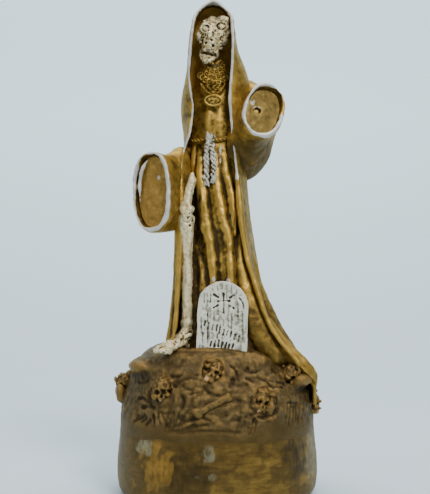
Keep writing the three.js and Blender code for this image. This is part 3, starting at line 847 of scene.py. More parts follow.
def cuff_disc(name, cuff, rows, marks, holes):
    """The rough disc that closes a cuff, with its peg hole, dents and bare patches."""
    size = 26
    clay = Clay(cuff.place - size, cuff.place + size, 0.45)
    depth = cuff.recess - 2
    disc = [(depth, *rows), (depth + 1.2, *(1.02 * v for v in rows)), (depth + 3, *rows)]
    clay.add(tube(cuff, disc, cuff.place - size, cuff.place + size))
    clay.add(ball(cuff.at(0, depth + 2.3, 0), (5, 2.6, 9), cuff.turn), 1)
    for across, up, radius, deep in holes:
        ends = [cuff.at(across, depth - 4, up), cuff.at(across, depth + deep, up)]
        clay.carve(stroke([(*end, radius) for end in ends], 3), 0.5)
    return sculpted(
        name, clay, lumps=[(6, 0.3, 61), (1.8, 0.07, 62)],
        masks={"bare": lambda p, n: patches(cuff, p, marks),
               "dark": lambda p, n: hole_shade(cuff, p, holes)},
    )


def hole_shade(cuff, points, holes):
    """Painted shadow: near black inside each hole that goes right in."""
    local = cuff.local(points)
    shade = np.zeros(len(points))
    for across, up, radius, deep in holes:
        if deep > 0:
            shade += between(radius + 0.2 - np.hypot(local[:, 0] - across, local[:, 2] - up), 0, 0.3)
    return shade


def patches(cuff, points, marks):
    """Bare chips in the paint: each mark is (across, up, radius)."""
    local = cuff.local(points)
    ragged = 0.7 * rough(points, 2.2, 71)
    bare = np.zeros(len(points))
    for x, z, radius in marks:
        bare += between(radius + ragged - np.hypot(local[:, 0] - x, local[:, 2] - z), 0, 0.5)
    return bare


# ---- Head --------------------------------------------------------------------
HEAD_PLACE = np.array([-2.4, -7.5, 270.6])
HEAD_TILT = (4, 10, 0)


class Head:
    """The skull's own axes: X across, -Y out of the face, Z up, from the middle of the cranium."""

    spin = np.array(turned_by(HEAD_TILT))

    @classmethod
    def at(cls, x, y, z):
        return HEAD_PLACE + cls.spin @ np.array([x, y, z], float)

    @classmethod
    def ball(cls, place, radii, turn=(0, 0, 0)):
        return ball(cls.at(*place), radii, tuple(a + b for a, b in zip(HEAD_TILT, turn)))

    @classmethod
    def stroke(cls, points, steps=None):
        return stroke([(*cls.at(x, y, z), r) for x, y, z, r in points], steps)


def ring(place, wide, tall, radius, tilt, forward):
    """Ten steps of a roll of clay that goes round a hole in the face."""
    points = []
    for angle in np.linspace(0, 2 * math.pi, 11):
        x, z = wide * math.cos(angle), tall * math.sin(angle)
        lean = math.radians(tilt)
        x, z = x * math.cos(lean) - z * math.sin(lean), x * math.sin(lean) + z * math.cos(lean)
        points.append((place[0] + x, place[1] + forward * abs(x), place[2] + z, radius))
    return points


SOCKETS = [((-4.6, -8.7, 2.6), 2.7, 2.1, 6), ((4.2, -8.5, 5.4), 3.3, 2.3, 10)]
CRUMBS = 110


def skull():
    low, high = HEAD_PLACE - [14, 14, 15], HEAD_PLACE + [14, 15, 15]
    clay = Clay(low, high, 0.3)
    clay.add(Head.ball((0, 1, 2.6), (8.6, 10.4, 8.8)))
    clay.add(Head.ball((0.2, -4.6, 1.6), (8.8, 5.2, 5.2)), 2)
    clay.add(Head.ball((0, -5.2, -4.6), (5.6, 4.9, 7.0)), 2.5)
    clay.add(Head.ball((4.6, -3.6, 9.2), (3.8, 4, 2.8)), 1.5)
    clay.add(Head.ball((8.4, -6, 3.2), (1.5, 1.8, 1.5)), 0.8)
    clay.add(Head.ball((7.4, -5.6, -1.4), (1.6, 2.2, 3.4)), 1.5)
    clay.add(Head.ball((-7.6, -5.6, -1.8), (1.7, 2.2, 3.2)), 1.5)
    for place, wide, tall, tilt in SOCKETS:
        clay.carve(Head.ball(place, (wide, 3.0, tall)), 0.8)
    for place, wide, tall, tilt in SOCKETS:
        rim = ring((place[0], place[1] - 0.2, place[2]), wide + 0.35, tall + 0.45, 0.66, tilt, 0.26)
        clay.add(Head.stroke(rim, 40), 0.5)
        clay.add(Head.ball((place[0] + 0.4, place[1] + 1.7, place[2]), (0.8 * wide, 1.7, 0.8 * tall)), 0.5)
    clay.add(Head.stroke([(-1.4, -9.6, 2.4, 0.9), (-1.2, -10.6, 0, 1.1), (-1.4, -10.9, -2, 1.0)]), 0.8)
    clay.carve(Head.ball((-0.2, -11.2, -3.4), (1.0, 1.8, 1.5)), 0.4)
    clay.carve(Head.ball((2.6, -10.6, -2.4), (0.9, 1.6, 1.0)), 0.4)
    for x, z in ((-5.4, -3.4), (3.8, -5), (-3.2, -5.6), (1.2, -6.6)):
        clay.carve(Head.ball((x, -10, z), (0.8, 1.6, 0.9)), 0.4)
    for i in range(7):
        x = -4.2 + 1.4 * i
        clay.add(Head.ball((x, -8.8 + 0.08 * x * x, -9.2 - 0.12 * abs(x)), (0.85, 1.1, 1.5)), 0.4)
    clay.carve(Head.ball((-1, -6.8, -13), (4.4, 4.4, 2.7)), 0.6)
    crumble(clay)
    return sculpted(
        "cranium", clay, lumps=[(2.6, 0.4, 81), (1.1, 0.34, 82)], masks={"dark": head_shade},
    )


def crumble(clay):
    """Crumbs of paste all over the face, except in the eye sockets."""
    chance = np.random.default_rng(5)
    for _ in range(CRUMBS):
        x, z = chance.uniform(-7, 7), chance.uniform(-9, 8)
        y = -9.6 * math.sqrt(max(1 - (x / 9.6) ** 2 - (z / 13) ** 2, 0.05))
        if min(math.hypot(x - at[0], z - at[2]) - wide for at, wide, tall, tilt in SOCKETS) < 0.6:
            continue
        size = chance.uniform(0.4, 0.95)
        clay.add(Head.ball((x, y + 0.3, z), (size, size * 0.9, size * chance.uniform(0.6, 1.3))), 0.3)


def head_shade(points, facing):
    """Painted shade at the back of the skull, under the cheekbones and round the teeth."""
    local = (points - HEAD_PLACE) @ Head.spin
    back = between(local[:, 1], -2, 6)
    cheeks = 0.7 * between(np.abs(local[:, 0]), 4.2, 6.6) * between(-local[:, 2], 0.5, 4)
    teeth = 0.6 * between(2.8 - np.abs(local[:, 2] + 10.6), 0, 1.6)
    return np.maximum(np.maximum(back, cheeks), teeth * between(rough(points, 2.6, 88), -0.5, 0.3))


def jaw():
    low, high = HEAD_PLACE + [-13, -14, -24], HEAD_PLACE + [10, 6, -7]
    clay = Clay(low, high, 0.3)
    mandible = [(-5.4, -1.5, -8.4, 1.0), (-5, -3.6, -11.4, 1.2), (-3.8, -6.6, -13.8, 1.4),
                (-1.4, -8.2, -15.6, 1.7), (1.2, -7.6, -14.6, 1.5), (3.4, -5.4, -12.4, 1.3),
                (4.8, -2, -9, 1.1)]
    clay.add(Head.stroke(mandible))
    clay.add(Head.ball((-1.8, -7.8, -16), (1.5, 1.5, 1.6)), 0.8)
    for i in range(5):
        x = -3.8 + 1.2 * i
        clay.add(Head.ball((x, -7.8 + 0.12 * (x + 1) ** 2, -13.2), (0.7, 0.8, 1.2)), 0.3)
    chance = np.random.default_rng(6)
    for _ in range(16):
        x = chance.uniform(-4, 3)
        size = chance.uniform(0.45, 0.85)
        z = -14.6 + chance.uniform(-2, 1.6)
        clay.add(Head.ball((x, -8.4 + 0.16 * (x + 1) ** 2, z), (size, size, size)), 0.3)
    return sculpted("jaw", clay, lumps=[(1.8, 0.3, 84), (0.8, 0.26, 85)], masks={"dark": head_shade})


def neck():
    low, high = box_mm("neck")
    centre = (low + high) / 2
    clay = Clay(low - 3, high + 3, 0.35)
    count = 3
    for i in range(count):
        z = low[2] + (i + 0.5) * (high[2] - low[2]) / count
        clay.add(ball((centre[0] - 0.3 * i, centre[1], z), (4.2 - 0.2 * i, 4.1, 1.9)), 0.5)
        clay.add(ball((centre[0] + 3.2, centre[1] - 2, z + 0.3), (1.5, 1.6, 1.1)), 0.4)
        clay.add(ball((centre[0] - 3.2, centre[1] - 2, z), (1.5, 1.6, 1.1)), 0.4)
    return sculpted("neck", clay, lumps=[(2, 0.25, 87)])


# ---- Leg ---------------------------------------------------------------------
def bone_piece(name, strokes, balls, low, high, seed, pits=(), crust=0.13):
    """A bone from rolls and knobs of clay, with pits pressed into it."""
    clay = Clay(np.array(low), np.array(high), 0.4)
    for points in strokes:
        clay.add(stroke(points), 0.8)
    for place, radii in balls:
        clay.add(ball(place, radii), 1.2)
    for place, radius in pits:
        clay.carve(ball(place, (radius, radius * 1.3, radius)), 0.3)
    return sculpted(
        name, clay, lumps=[(4, 0.34, seed), (1.2, crust, seed + 1)], detail=pitting(seed + 2), relief=0.25,
    )


def pitting(seed):
    """Small sharp holes, where coarse paste has left gaps."""

    def holes(points, facing):
        knee = 1 - 0.6 * between(np.abs(points[:, 2] - 162), 6, 20)
        sparse = speckle(points, 1.3, seed) + 0.6 * speckle(points, 5, seed + 1)
        return -0.5 * knee * between(sparse, 0.9, 1.1)

    return holes


def thigh_bone():
    shaft = [(-14.2, -20.2, 188, 1.4), (-14.6, -20.8, 184.6, 2.3), (-15.6, -22, 180, 2.5),
             (-16.8, -23.4, 175, 2.6), (-18, -24.6, 170.4, 3.2)]
    knobs = [((-19.4, -25, 167.4), (2.5, 3.2, 2.9)), ((-15.6, -25.2, 167.2), (2.5, 3.2, 2.9))]
    return bone_piece("thigh_bone", [shaft], knobs, (-24, -30, 162), (-10, -15, 192), 91, crust=0.2)


def kneecap():
    place = (-17.6, -28.6, 163.6)
    pits = [((-18.6, -31, 164.6), 0.7), ((-16.2, -30.8, 162.4), 0.8), ((-15.4, -30.4, 165), 0.6),
            ((-19.4, -30.4, 162.2), 0.6)]
    return bone_piece("kneecap", [], [(place, (3.4, 2.3, 3.8))], (-23, -34, 157), (-12, -24, 170), 94, pits,
                      crust=0.45)


def shin_bone():
    shaft = [(-17.4, -25, 101, 3.1), (-17.4, -24.8, 108, 3.0), (-17.3, -24.6, 122, 3.1),
             (-17.3, -24.5, 140, 3.3), (-17.4, -24.7, 150, 3.6), (-17.6, -25, 158, 4.4)]
    knobs = [((-19.6, -25, 161.4), (2.9, 3.8, 3.6)), ((-15.4, -25, 161), (2.9, 3.8, 3.6)),
             ((-17.4, -25.2, 102.4), (3.7, 3.6, 2.6))]
    pits = [((-15.6, -28.4, 158), 0.8), ((-14, -28, 161), 0.7), ((-19, -28.6, 156), 0.6),
            ((-17.8, -28, 150), 0.5), ((-19.6, -27.4, 138.6), 0.6), ((-16.4, -28, 144), 0.5)]
    return bone_piece("shin_bone", [shaft], knobs, (-25, -31, 96), (-10, -19, 167), 97, pits)


def foot():
    strokes = [
        [(-17, -25.2, 99, 3.2), (-19, -26.6, 95, 3.6), (-23, -29, 92, 3.2), (-28, -32, 90, 2.4),
         (-33.2, -34.8, 88.4, 1.6)],
        [(-17.2, -26, 97, 3), (-19.4, -28.6, 92.6, 3.0), (-23.6, -32.4, 89.6, 2.4), (-28, -35.6, 88, 1.9),
         (-31.4, -37.6, 87.2, 1.4)],
        [(-17.6, -25, 96, 3), (-22, -27.6, 91.6, 2.8), (-28, -30.6, 88.6, 2.2), (-34, -32.4, 87.2, 1.5)],
        [(-15.6, -25, 97, 3), (-14.8, -24.6, 92, 2.8), (-16, -25, 88, 2.4)],
    ]
    toes = [((-33.8 + 2.2 * i, -33.4 - 1.7 * i, 87.2), (1.8, 1.7, 1.6)) for i in range(4)]
    chance = np.random.default_rng(12)
    for _ in range(26):
        far = chance.uniform(0, 1)
        x, y = -17 - 14 * far + chance.uniform(-2, 2), -28.6 - 6 * far + chance.uniform(-2, 1)
        toes.append(((x, y, 96 - 7.6 * far), chance.uniform(0.8, 1.6, 3)))
    cracks = [((-24 - 2.2 * i, -30 - 1.5 * (i % 3), 93.4 - 0.8 * i), 0.9) for i in range(5)]
    return bone_piece("foot", strokes, toes, (-38, -42, 83), (-11, -19, 104), 101, cracks, crust=0.5)


# ---- Gravestone --------------------------------------------------------------
GRAVE_LEAN = math.radians(1.6)


class Grave:
    """The gravestone's own axes: X across and Z up from the middle of its foot."""

    low, high = box_mm("gravestone")
    front, back = low[1], high[1]
    half = 14.2
    tall = high[2] - low[2]
    place = np.array([middle_mm("gravestone")[0] - 0.5, 0, low[2]])

    @classmethod
    def local(cls, x, z):
        across, up = x - cls.place[0], z - cls.place[2]
        return (across * math.cos(GRAVE_LEAN) - up * math.sin(GRAVE_LEAN),
                across * math.sin(GRAVE_LEAN) + up * math.cos(GRAVE_LEAN))

    @classmethod
    def at(cls, across, up, y):
        x = across * math.cos(GRAVE_LEAN) + up * math.sin(GRAVE_LEAN)
        z = up * math.cos(GRAVE_LEAN) - across * math.sin(GRAVE_LEAN)
        return cls.place[0] + x, y, cls.place[2] + z


def gravestone():
    arch = Grave.tall - Grave.half

    def distance(x, y, z):
        across, up = Grave.local(x, z)
        side = np.hypot(across, np.maximum(up - arch, 0)) - Grave.half + 0.6
        flat = np.maximum(np.maximum(side, 0.6 - up),
                          np.maximum(Grave.front + 0.6 - y, y - Grave.back + 0.6))
        return flat - 0.6

    clay = Clay(Grave.low - [3, 2, 2], Grave.high + [3, 2, 3], 0.4)
    clay.add(Shape(Grave.low - 1, Grave.high + 1, distance))
    for points in scratches():
        clay.carve(stroke(points), 0.25)
    return sculpted(
        "gravestone", clay, lumps=[(6, 0.22, 111), (1.8, 0.10, 112)],
        detail=lambda p,
        n: 0.2 * speckle(p * [1, 1, 0.16], 0.9, 113) + 0.16 * speckle(p * [1, 1, 0.5], 2.2, 114),
    )


def scratches():
    """Plain marks: a small cross with rays round it, and two rows of tally strokes."""
    y = Grave.front - 0.15
    marks = [[(0.2, 35.5), (0.6, 24.6)], [(-3, 31), (3.6, 31.4)]]
    for angle in (35, 145, 215, 325):
        x, z = math.cos(math.radians(angle)), math.sin(math.radians(angle))
        marks.append([(0.4 + 4.2 * x, 31 + 4 * z), (0.4 + 6.8 * x, 31 + 6.4 * z)])
    marks.append([(9.2, 33), (11, 30.4), (11.8, 27.4)])
    chance = np.random.default_rng(19)
    for start, count, slope in ((18, 10, -0.4), (8.2, 7, -0.16)):
        for i in range(count):
            x = -9.8 + 2.1 * i + (3.6 if count < 9 else 0) + chance.uniform(-0.3, 0.3)
            z = start + slope * (x + 9.8) + chance.uniform(-0.6, 0.6)
            height = chance.uniform(0.9, 1.9)
            marks.append([(x - 0.3, z - height), (x + 0.3, z + height)])
    for mark in marks:
        yield [(*Grave.at(x, z, y), 0.62) for x, z in mark]


# ---- Mound -------------------------------------------------------------------
MOUND = [
    (34, -57, 57, -57, 57),
    (41, -57.6, 57.6, -57.6, 57.6),
    (45.6, -57.5, 57.5, -57.5, 57.5),
    (50, -57, 57.2, -57, 57.2),
    (57, -55.6, 57.2, -55.6, 56.4),
    (64, -53.6, 56, -53.6, 54.6),
    (70, -51.8, 52.6, -51, 52),
    (76, -50, 47, -48.4, 48.6),
    (80.4, -46, 40.4, -45.4, 45),
    (84, -40.6, 32, -42.4, 40),
    (86.6, -35, 24, -38.6, 34),
]
MOUND_LUMPS = [(13, 0.9, 121), (4.5, 0.26, 122), (1.9, 0.2, 123)]
GRASS = [  # tufts of upright cuts: (middle x, middle z, width, height, lean, count)
    (-23.4, 49.5, 9, 11, 0.25, 6), (16.4, 48.5, 9.5, 9, 0.3, 6), (42.5, 53, 7.5, 14, 0.12, 5),
    (-42, 49, 7, 5, 0.9, 4), (-32, 50, 6, 7, -0.3, 3),
]


def on_front(x, z, sink=0.0):
    """The point of the mound's front over (x, z), pushed in by sink."""
    row = np.array(MOUND, float)
    left, right, front, back = (float(np.interp(z, row[:, 0], row[:, i])) for i in range(1, 5))
    wide = (right - left) / 2
    across = min(abs(x - (left + right) / 2) / wide, 0.999)
    return (front + back) / 2 - (back - front) / 2 * math.sqrt(1 - across**2) + sink


def cut(points, radius, sink=0.0):
    """A groove over the mound's front along points of (x, z)."""
    return stroke([(x, on_front(x, z, sink), z, radius) for x, z in points], 5 * len(points))


def mound():
    clay = Clay((-63, -62, 36), (63, 62, 92), 0.78)
    clay.add(draped(MOUND, 1.02))
    clay.add(ball((-9, -14, 82), (30, 26, 6.5)), 5)
    clay.add(ball((-42, -18, 77), (8, 14, 5)), 3)
    clay.add(ball((3, -32, 81.6), (27, 11.6, 7.2)), 6)
    clay.add(ball((47, -24, 70), (8, 12, 5)), 3)
    for place, radii in (((-57.2, -4, 59), (3.2, 7, 6)), ((56, -6, 62), (3, 8, 4)),
                         ((56.4, -2, 52), (2.6, 7, 5)), ((-49.6, -14, 76.6), (2.0, 4, 1.8))):
        clay.add(ball(place, radii), 1.6)
    for points in mound_grooves():
        clay.carve(points, 0.5)
    chance = np.random.default_rng(31)
    for node in SKULL_SPOTS:
        place, radii = skull_spot(node)
        clay.carve(ball(place, radii * 0.99), 1.2)
        for _ in range(12):
            angle, far = chance.uniform(0, 6.28), chance.uniform(0.9, 1.2)
            spot = place + radii * [far * math.cos(angle), -0.5, far * math.sin(angle)]
            clay.add(ball(spot, chance.uniform(0.8, 2.2, 3)), 0.7)
    return sculpted(
        "mound", clay, lumps=MOUND_LUMPS, detail=mound_roughness, relief=0.62,
        masks={"dark": mound_foot},
    )


def mound_roughness(points, facing):
    """Crumbly earth higher up, and no roughness at all at the foot, where the mound meets the drum."""
    z = points[:, 2]
    warped = points + 3 * np.stack([speckle(points, 9, seed) for seed in (126, 127, 128)], 1)
    worked = between(speckle(points, 14, 129), 0.1, 0.6)
    dragged = -0.5 * np.maximum(1 - 3.2 * np.abs(speckle(warped * [0.4, 0.4, 1.0], 3.4, 124)), 0) * worked
    crumbs = dragged + 0.3 * np.abs(speckle(points, 2.0, 125))
    calm = sum(depth * rough(points, size, seed) for size, depth, seed in MOUND_LUMPS)
    ragged = z + 3 * speckle(points, 11, 130)
    return crumbs * between(ragged, 44, 54) - calm * (1 - between(z, 42, 49))


def mound_foot(points, facing):
    return between(3 * speckle(points, 11, 130) - points[:, 2], -50, -42)


def mound_grooves():
    chance = np.random.default_rng(17)
    for x, z, wide, tall, lean, count in GRASS:
        for i in range(count):
            offset = (i / (count - 1) - 0.5) * wide
            length = tall * chance.uniform(0.6, 1) / 2
            tip = lean * length * chance.uniform(0.4, 1.6)
            middle_z = z + chance.uniform(-1, 1)
            blade = [(x + offset + side * tip, middle_z + side * length) for side in (-1, 0, 1)]
            yield cut(blade, chance.uniform(0.5, 0.8), 0.1)
    yield cut([(-27, 44.5), (-20, 45.6), (-12, 48.4), (-4, 49.4)], 0.95)
    yield cut([(-25, 46.6), (-17, 50.5), (-9, 53), (-2, 50.6)], 0.85)
    yield cut([(-22, 44), (-10, 45.6), (4, 45.8), (13, 44.6)], 0.8)
    yield from drag_marks(chance)
    yield cut([(-14, 66), (-11.6, 69), (-8.4, 67.8), (-8.6, 64.6), (-11.4, 65), (-11, 66.8)], 0.6)
    yield cut([(-22, 70), (-15, 73.6), (-8, 72), (-2, 68)], 0.6)
    yield cut([(26, 72), (32, 70), (38, 69.4)], 0.6)
    for _ in range(14):
        x, z = chance.uniform(14, 44), chance.uniform(72, 84)
        yield cut([(x, z), (x + chance.uniform(2, 5), z - chance.uniform(1, 3))], 0.55)


def drag_marks(chance):
    """Curved strokes round each front skull, and loose ones between them."""
    for x, z in ((-28.4, 61), (1.8, 73), (26, 60), (36, 76)):
        for _ in range(7):
            far, start = chance.uniform(7, 11.5), chance.uniform(0, 2 * math.pi)
            sweep = chance.uniform(0.5, 1.2)
            arc = [start, start + sweep / 2, start + sweep]
            marks = [(x + far * math.cos(a), min(z + 0.8 * far * math.sin(a), 84)) for a in arc]
            yield cut(marks, chance.uniform(0.55, 0.9), 0.1)
    for _ in range(34):
        x, z = chance.uniform(-46, 46), chance.uniform(52, 80)
        long, rise = chance.uniform(3, 8), chance.uniform(-2.4, 2.4)
        bend = chance.uniform(-1, 1)
        mark = [(x, z), (x + long / 2, z + rise / 2 + bend), (x + long, z + rise)]
        yield cut(mark, chance.uniform(0.5, 0.8), 0.1)


# How far each buried skull's middle is moved from its CAD node's middle, and its turn.
SKULL_SPOTS = {
    "mound_skull_1": ((0, 2.6, -0.6), (10, -8, -18)),
    "mound_skull_2": ((1.2, 3, -0.4), (-12, 24, -4)),
    "mound_skull_3": ((-0.6, 3, -0.8), (6, 14, 16)),
    "mound_skull_4": ((0, 2, 0), (0, -20, 34)),
    "mound_skull_5": ((1.6, 0, 0), (0, 0, -84)),
    "mound_skull_6": ((-1.6, 0, 0), (0, 0, 84)),
}
BURIED = 1.9  # how much deeper than its CAD node each skull sits


def skull_spot(node):
    """The middle of a buried skull, and the radii of the pit that it lies in."""
    low, high = box_mm(node)
    shift, _ = SKULL_SPOTS[node]
    return (low + high) / 2 + shift + [0, BURIED, 0], np.array([5.7, 5.6, 6.4])


def buried_skull(node, seed):
    """A small worn skull: cranium, two sockets, a nose hole, cheeks and a row of teeth."""
    place, _ = skull_spot(node)
    turn = SKULL_SPOTS[node][1]
    spin = np.array(turned_by(turn))

    def at(x, y, z):
        return place + spin @ np.array([x, y, z])

    clay = Clay(place - 10, place + 10, 0.4)
    clay.add(ball(at(0, 0.6, 1.4), (5.6, 5.8, 5.4), turn))
    clay.add(ball(at(0, -2.4, -3.4), (3.7, 3.4, 4), turn), 1.5)
    clay.add(ball(at(0, -3.4, 0.6), (5, 2.4, 2), turn), 1)
    for side in (-1, 1):
        clay.carve(ball(at(side * 2.2, -5.6, -0.6), (1.5, 1.7, 1.3), turn), 0.6)
        clay.add(ball(at(side * 3.6, -3.8, -2.6), (1.4, 1.6, 1.2), turn), 0.6)
    clay.carve(ball(at(0, -6, -3), (0.7, 1.6, 1), turn), 0.3)
    for i in range(5):
        clay.add(ball(at(-1.9 + 0.95 * i, -4.8, -5.8), (0.5, 0.7, 1), turn), 0.2)
    chip = at(-1.6, -5.2, -5.8)
    return sculpted(
        node, clay, lumps=[(3, 0.6, seed), (1.4, 0.3, seed + 1)], relief=0.4,
        masks={"bare": lambda p, n: chipped(p, chip, seed)},
    )


def chipped(points, chip, seed):
    """A small bare spot where the paint has come off a tooth."""
    return between(1.7 + 0.5 * speckle(points, 1, seed) - np.linalg.norm(points - chip, axis=1), 0, 0.5)


def mound_bone():
    a, b = np.array([-10.4, 0, 55.6]), np.array([5.8, 0, 63.8])
    spots = [(x, on_front(x, z) - 1.2, z) for x, z in ((a[0], a[2]), (-2.4, 59.8), (b[0], b[2]))]
    shaft = [(*spots[0], 1.9), (*spots[1], 1.7), (*spots[2], 1.8)]
    ax, ay, az = spots[0]
    bx, by, bz = spots[2]
    knobs = [((ax - 1.4, ay, az + 0.8), (1.9, 1.7, 1.5)), ((ax + 0.4, ay, az - 1.6), (1.9, 1.7, 1.5)),
             ((bx + 1.2, by, bz - 1), (1.4, 1.4, 1.2)), ((bx + 0.2, by, bz + 1.2), (1.4, 1.4, 1.2))]
    return bone_piece("mound_bone", [shaft], knobs, (-16, -62, 50), (11, -48, 70), 131)


# ---- Drum --------------------------------------------------------------------
def base_drum():
    low, high = box_mm("base_drum")
    radius = (high[0] - low[0]) / 2
    profile = [(0, 5.6), (1.2, 3.4), (4, 1.2), (8.5, 0.2), (15, 0), (24, 0.4), (33, 1.3), (40, 1.9),
               (43.5, 3.6), (46, 9)]
    rows = [(z, inset - radius, radius - inset, inset - radius, radius - inset) for z, inset in profile]
    clay = Clay((-62, -62, -2), (62, 62, 48), 1.0)
    clay.add(draped(rows, 1.0))
    return sculpted(
        "base_drum", clay, lumps=[(34, 0.4, 141)], detail=drum_skin,
        masks={"ochre": ochre_patch, "pale": pale_patches_and_sheen, "soot": dark_blots_patch,
               "gilt": gilt_brushing, "foot": lambda p, n: 0.8 * between(p[:, 2], 35, 41)},
    )


def drum_skin(points, facing):
    """The flat underside stays flat; the side has faint level ripples."""
    side = between(points[:, 2], 0.5, 4)
    return side * 0.12 * speckle(points * [0.2, 0.2, 1], 2.2,
                                 142) - (1 - side) * 0.4 * rough(points, 34, 141)


def blot(points, x, z, wide, tall, seed, ragged=0.5):
    """A soft-edged patch on the front, about the given size: stains, and the painted reflection down the
    right edge.
    """
    far = np.hypot((points[:, 0] - x) / wide, (points[:, 2] - z) / tall)
    return between(1.1 - far + ragged * rough(points, 7, seed), 0, 0.7) * between(-points[:, 1], 5, 20)


def ochre_patch(points, facing):
    slant = points - [0, 0, 1] * (0.5 * (points[:, :1] + 34))
    return blot(slant, -34, 26, 11, 19, 151, 0.8)


def gilt_brushing(points, facing):
    """Level strokes of gold over the right half and along the top."""
    return np.maximum(0.8 * blot(points, 26, 12, 32, 20, 158, 0.9),
                      0.6 * blot(points, 12, 36, 40, 8, 159, 0.9))


# Pale patches and a drip on the front, and a painted reflection down the right edge.
def pale_patches_and_sheen(points, facing):
    core = blot(points, -39.5, 33, 4.6, 6, 152, 0.8)
    drip = blot(points, -4.6, 32, 5, 9.5, 153, 0.9)
    # A pale band down the right edge: painted reflection.
    side = blot(points, 54, 28, 5, 26, 154, 0.2)
    return np.maximum(np.maximum(core, 0.7 * drip), 0.55 * side)


# Darker blots on the front: at the right, in the middle and at the left edge.
def dark_blots_patch(points, facing):
    return np.maximum(np.maximum(blot(points, 44, 24, 8, 17, 155), 0.6 * blot(points, -16, 24, 20, 18, 156)),
                      0.7 * blot(points, -55, 40, 8, 16, 157))


# ---- Node trees --------------------------------------------------------------
def place(tree, kind, inputs=None, **settings):
    """A node with its settings, each input either set to a value or joined to another node's output."""
    node = tree.nodes.new(kind)
    for name, value in settings.items():
        setattr(node, name, value)
    for key, value in (inputs or {}).items():
        if isinstance(value, bpy.types.NodeSocket):
            tree.links.new(value, node.inputs[key])
        else:
            node.inputs[key].default_value = value
    return node


def math_node(tree, operation, *values, clamp=False):
    return place(tree, "ShaderNodeMath", dict(enumerate(values)), operation=operation,
                 use_clamp=clamp).outputs[0]


def vector_node(tree, operation, inputs):
    return place(tree, "ShaderNodeVectorMath", inputs, operation=operation).outputs[0]


def random_size(tree, low, high, seed):
    inputs = {2: low, 3: high, "Seed": seed}
    return place(tree, "FunctionNodeRandomValue", inputs, data_type="FLOAT").outputs[1]


def object_place(tree):
    return place(tree, "ShaderNodeTexCoord").outputs["Object"]


def ramp(tree, value, low, high, **to):
    """0 where a value is at low and 1 where it's at high, smooth in between; to may name other ends."""
    inputs = {"Value": value, "From Min": low, "From Max": high, **to}
    return place(tree, "ShaderNodeMapRange", inputs, interpolation_type="SMOOTHSTEP").outputs[0]


def new_group(name, kind, inputs, outputs):
    """A node group. Its inputs are (name, socket type, starting value) and its outputs (name, type)."""
    group = bpy.data.node_groups.new(name, kind)
    for title, socket, start in inputs:
        made = group.interface.new_socket(title, in_out="INPUT", socket_type=socket)
        if start is not None:
            made.default_value = start
    for title, socket in outputs:
        group.interface.new_socket(title, in_out="OUTPUT", socket_type=socket)
    return group, group.nodes.new("NodeGroupInput").outputs, group.nodes.new("NodeGroupOutput")


# ---- Shader groups -----------------------------------------------------------
NUMBER = "NodeSocketFloat"
HALF_COVERED = 0.9  # the middle value of relief, shade and noise together, where a coat half covers


def make_worn_coat():
    """Where a top coat of paint still covers: on ridges, and in ragged patches between them."""
    inputs = [("Relief", NUMBER, 0.5), ("Shade", NUMBER, 0.5), ("Patch", NUMBER, 0.012),
              ("Ragged", NUMBER, 0.6), ("Bias", NUMBER, 0.0), ("Softness", NUMBER, 0.2)]
    group, given, result = new_group("worn_coat", "ShaderNodeTree", inputs, [("Cover", NUMBER)])
    spot = object_place(group)
    size = math_node(group, "DIVIDE", 1.0, given["Patch"])
    broad = place(group, "ShaderNodeTexNoise", {"Vector": spot, "Scale": size, "Detail": 4.0}).outputs[0]
    fine_size = math_node(group, "MULTIPLY", size, 5.0)
    fine = place(group, "ShaderNodeTexNoise", {"Vector": spot, "Scale": fine_size, "Detail": 5.0}).outputs[0]
    both = math_node(group, "ADD", broad, math_node(group, "MULTIPLY", fine, 0.8))
    ragged = math_node(group, "MULTIPLY", math_node(group, "SUBTRACT", both, HALF_COVERED), given["Ragged"])
    raised = math_node(group, "ADD", math_node(group, "MULTIPLY", given["Relief"], 0.8),
                       given["Shade"])
    total = math_node(group, "ADD", math_node(group, "ADD", ragged, raised), given["Bias"])
    low = math_node(group, "SUBTRACT", HALF_COVERED, given["Softness"])
    high = math_node(group, "ADD", HALF_COVERED, given["Softness"])
    group.links.new(ramp(group, total, low, high), result.inputs["Cover"])
    return group


def make_brush_marks():
    """Fine streaks left by a stiff brush, drawn out along one axis by the Stretch input."""
    inputs = [("Size", NUMBER, 0.0012), ("Stretch", "NodeSocketVector", (1.0, 1.0, 0.15))]
    group, given, result = new_group("brush_marks", "ShaderNodeTree", inputs, [("Streak", NUMBER)])
    spot = object_place(group)
    drawn = place(group, "ShaderNodeMapping", {"Vector": spot, "Scale": given["Stretch"]}).outputs[0]
    size = math_node(group, "DIVIDE", 1.0, given["Size"])
    noise = place(group, "ShaderNodeTexNoise",
                  {"Vector": drawn, "Scale": size, "Detail": 6.0, "Roughness": 0.65})
    group.links.new(noise.outputs[0], result.inputs["Streak"])
    return group


def make_paste_grain():
    """The height of coarse paste: grit with small pits."""
    inputs = [("Grit", NUMBER, 0.0009), ("Pit", NUMBER, 0.003)]
    group, given, result = new_group("paste_grain", "ShaderNodeTree", inputs, [("Height", NUMBER)])
    spot = object_place(group)
    grit_size = math_node(group, "DIVIDE", 1.0, given["Grit"])
    grit = place(group, "ShaderNodeTexNoise",
                 {"Vector": spot, "Scale": grit_size, "Detail": 6.0, "Roughness": 0.7})
    pit_size = math_node(group, "DIVIDE", 1.0, given["Pit"])
    pits = place(group, "ShaderNodeTexVoronoi", {"Vector": spot, "Scale": pit_size})
    hole = place(group, "ShaderNodeMapRange",
                 {"Value": pits.outputs["Distance"], "From Min": 0.05, "From Max": 0.3})
    height = math_node(group, "ADD", grit.outputs[0], math_node(group, "MULTIPLY", hole.outputs[0], 0.35))
    group.links.new(height, result.inputs["Height"])
    return group


WORN_COAT = make_worn_coat()
BRUSH_MARKS = make_brush_marks()
PASTE_GRAIN = make_paste_grain()


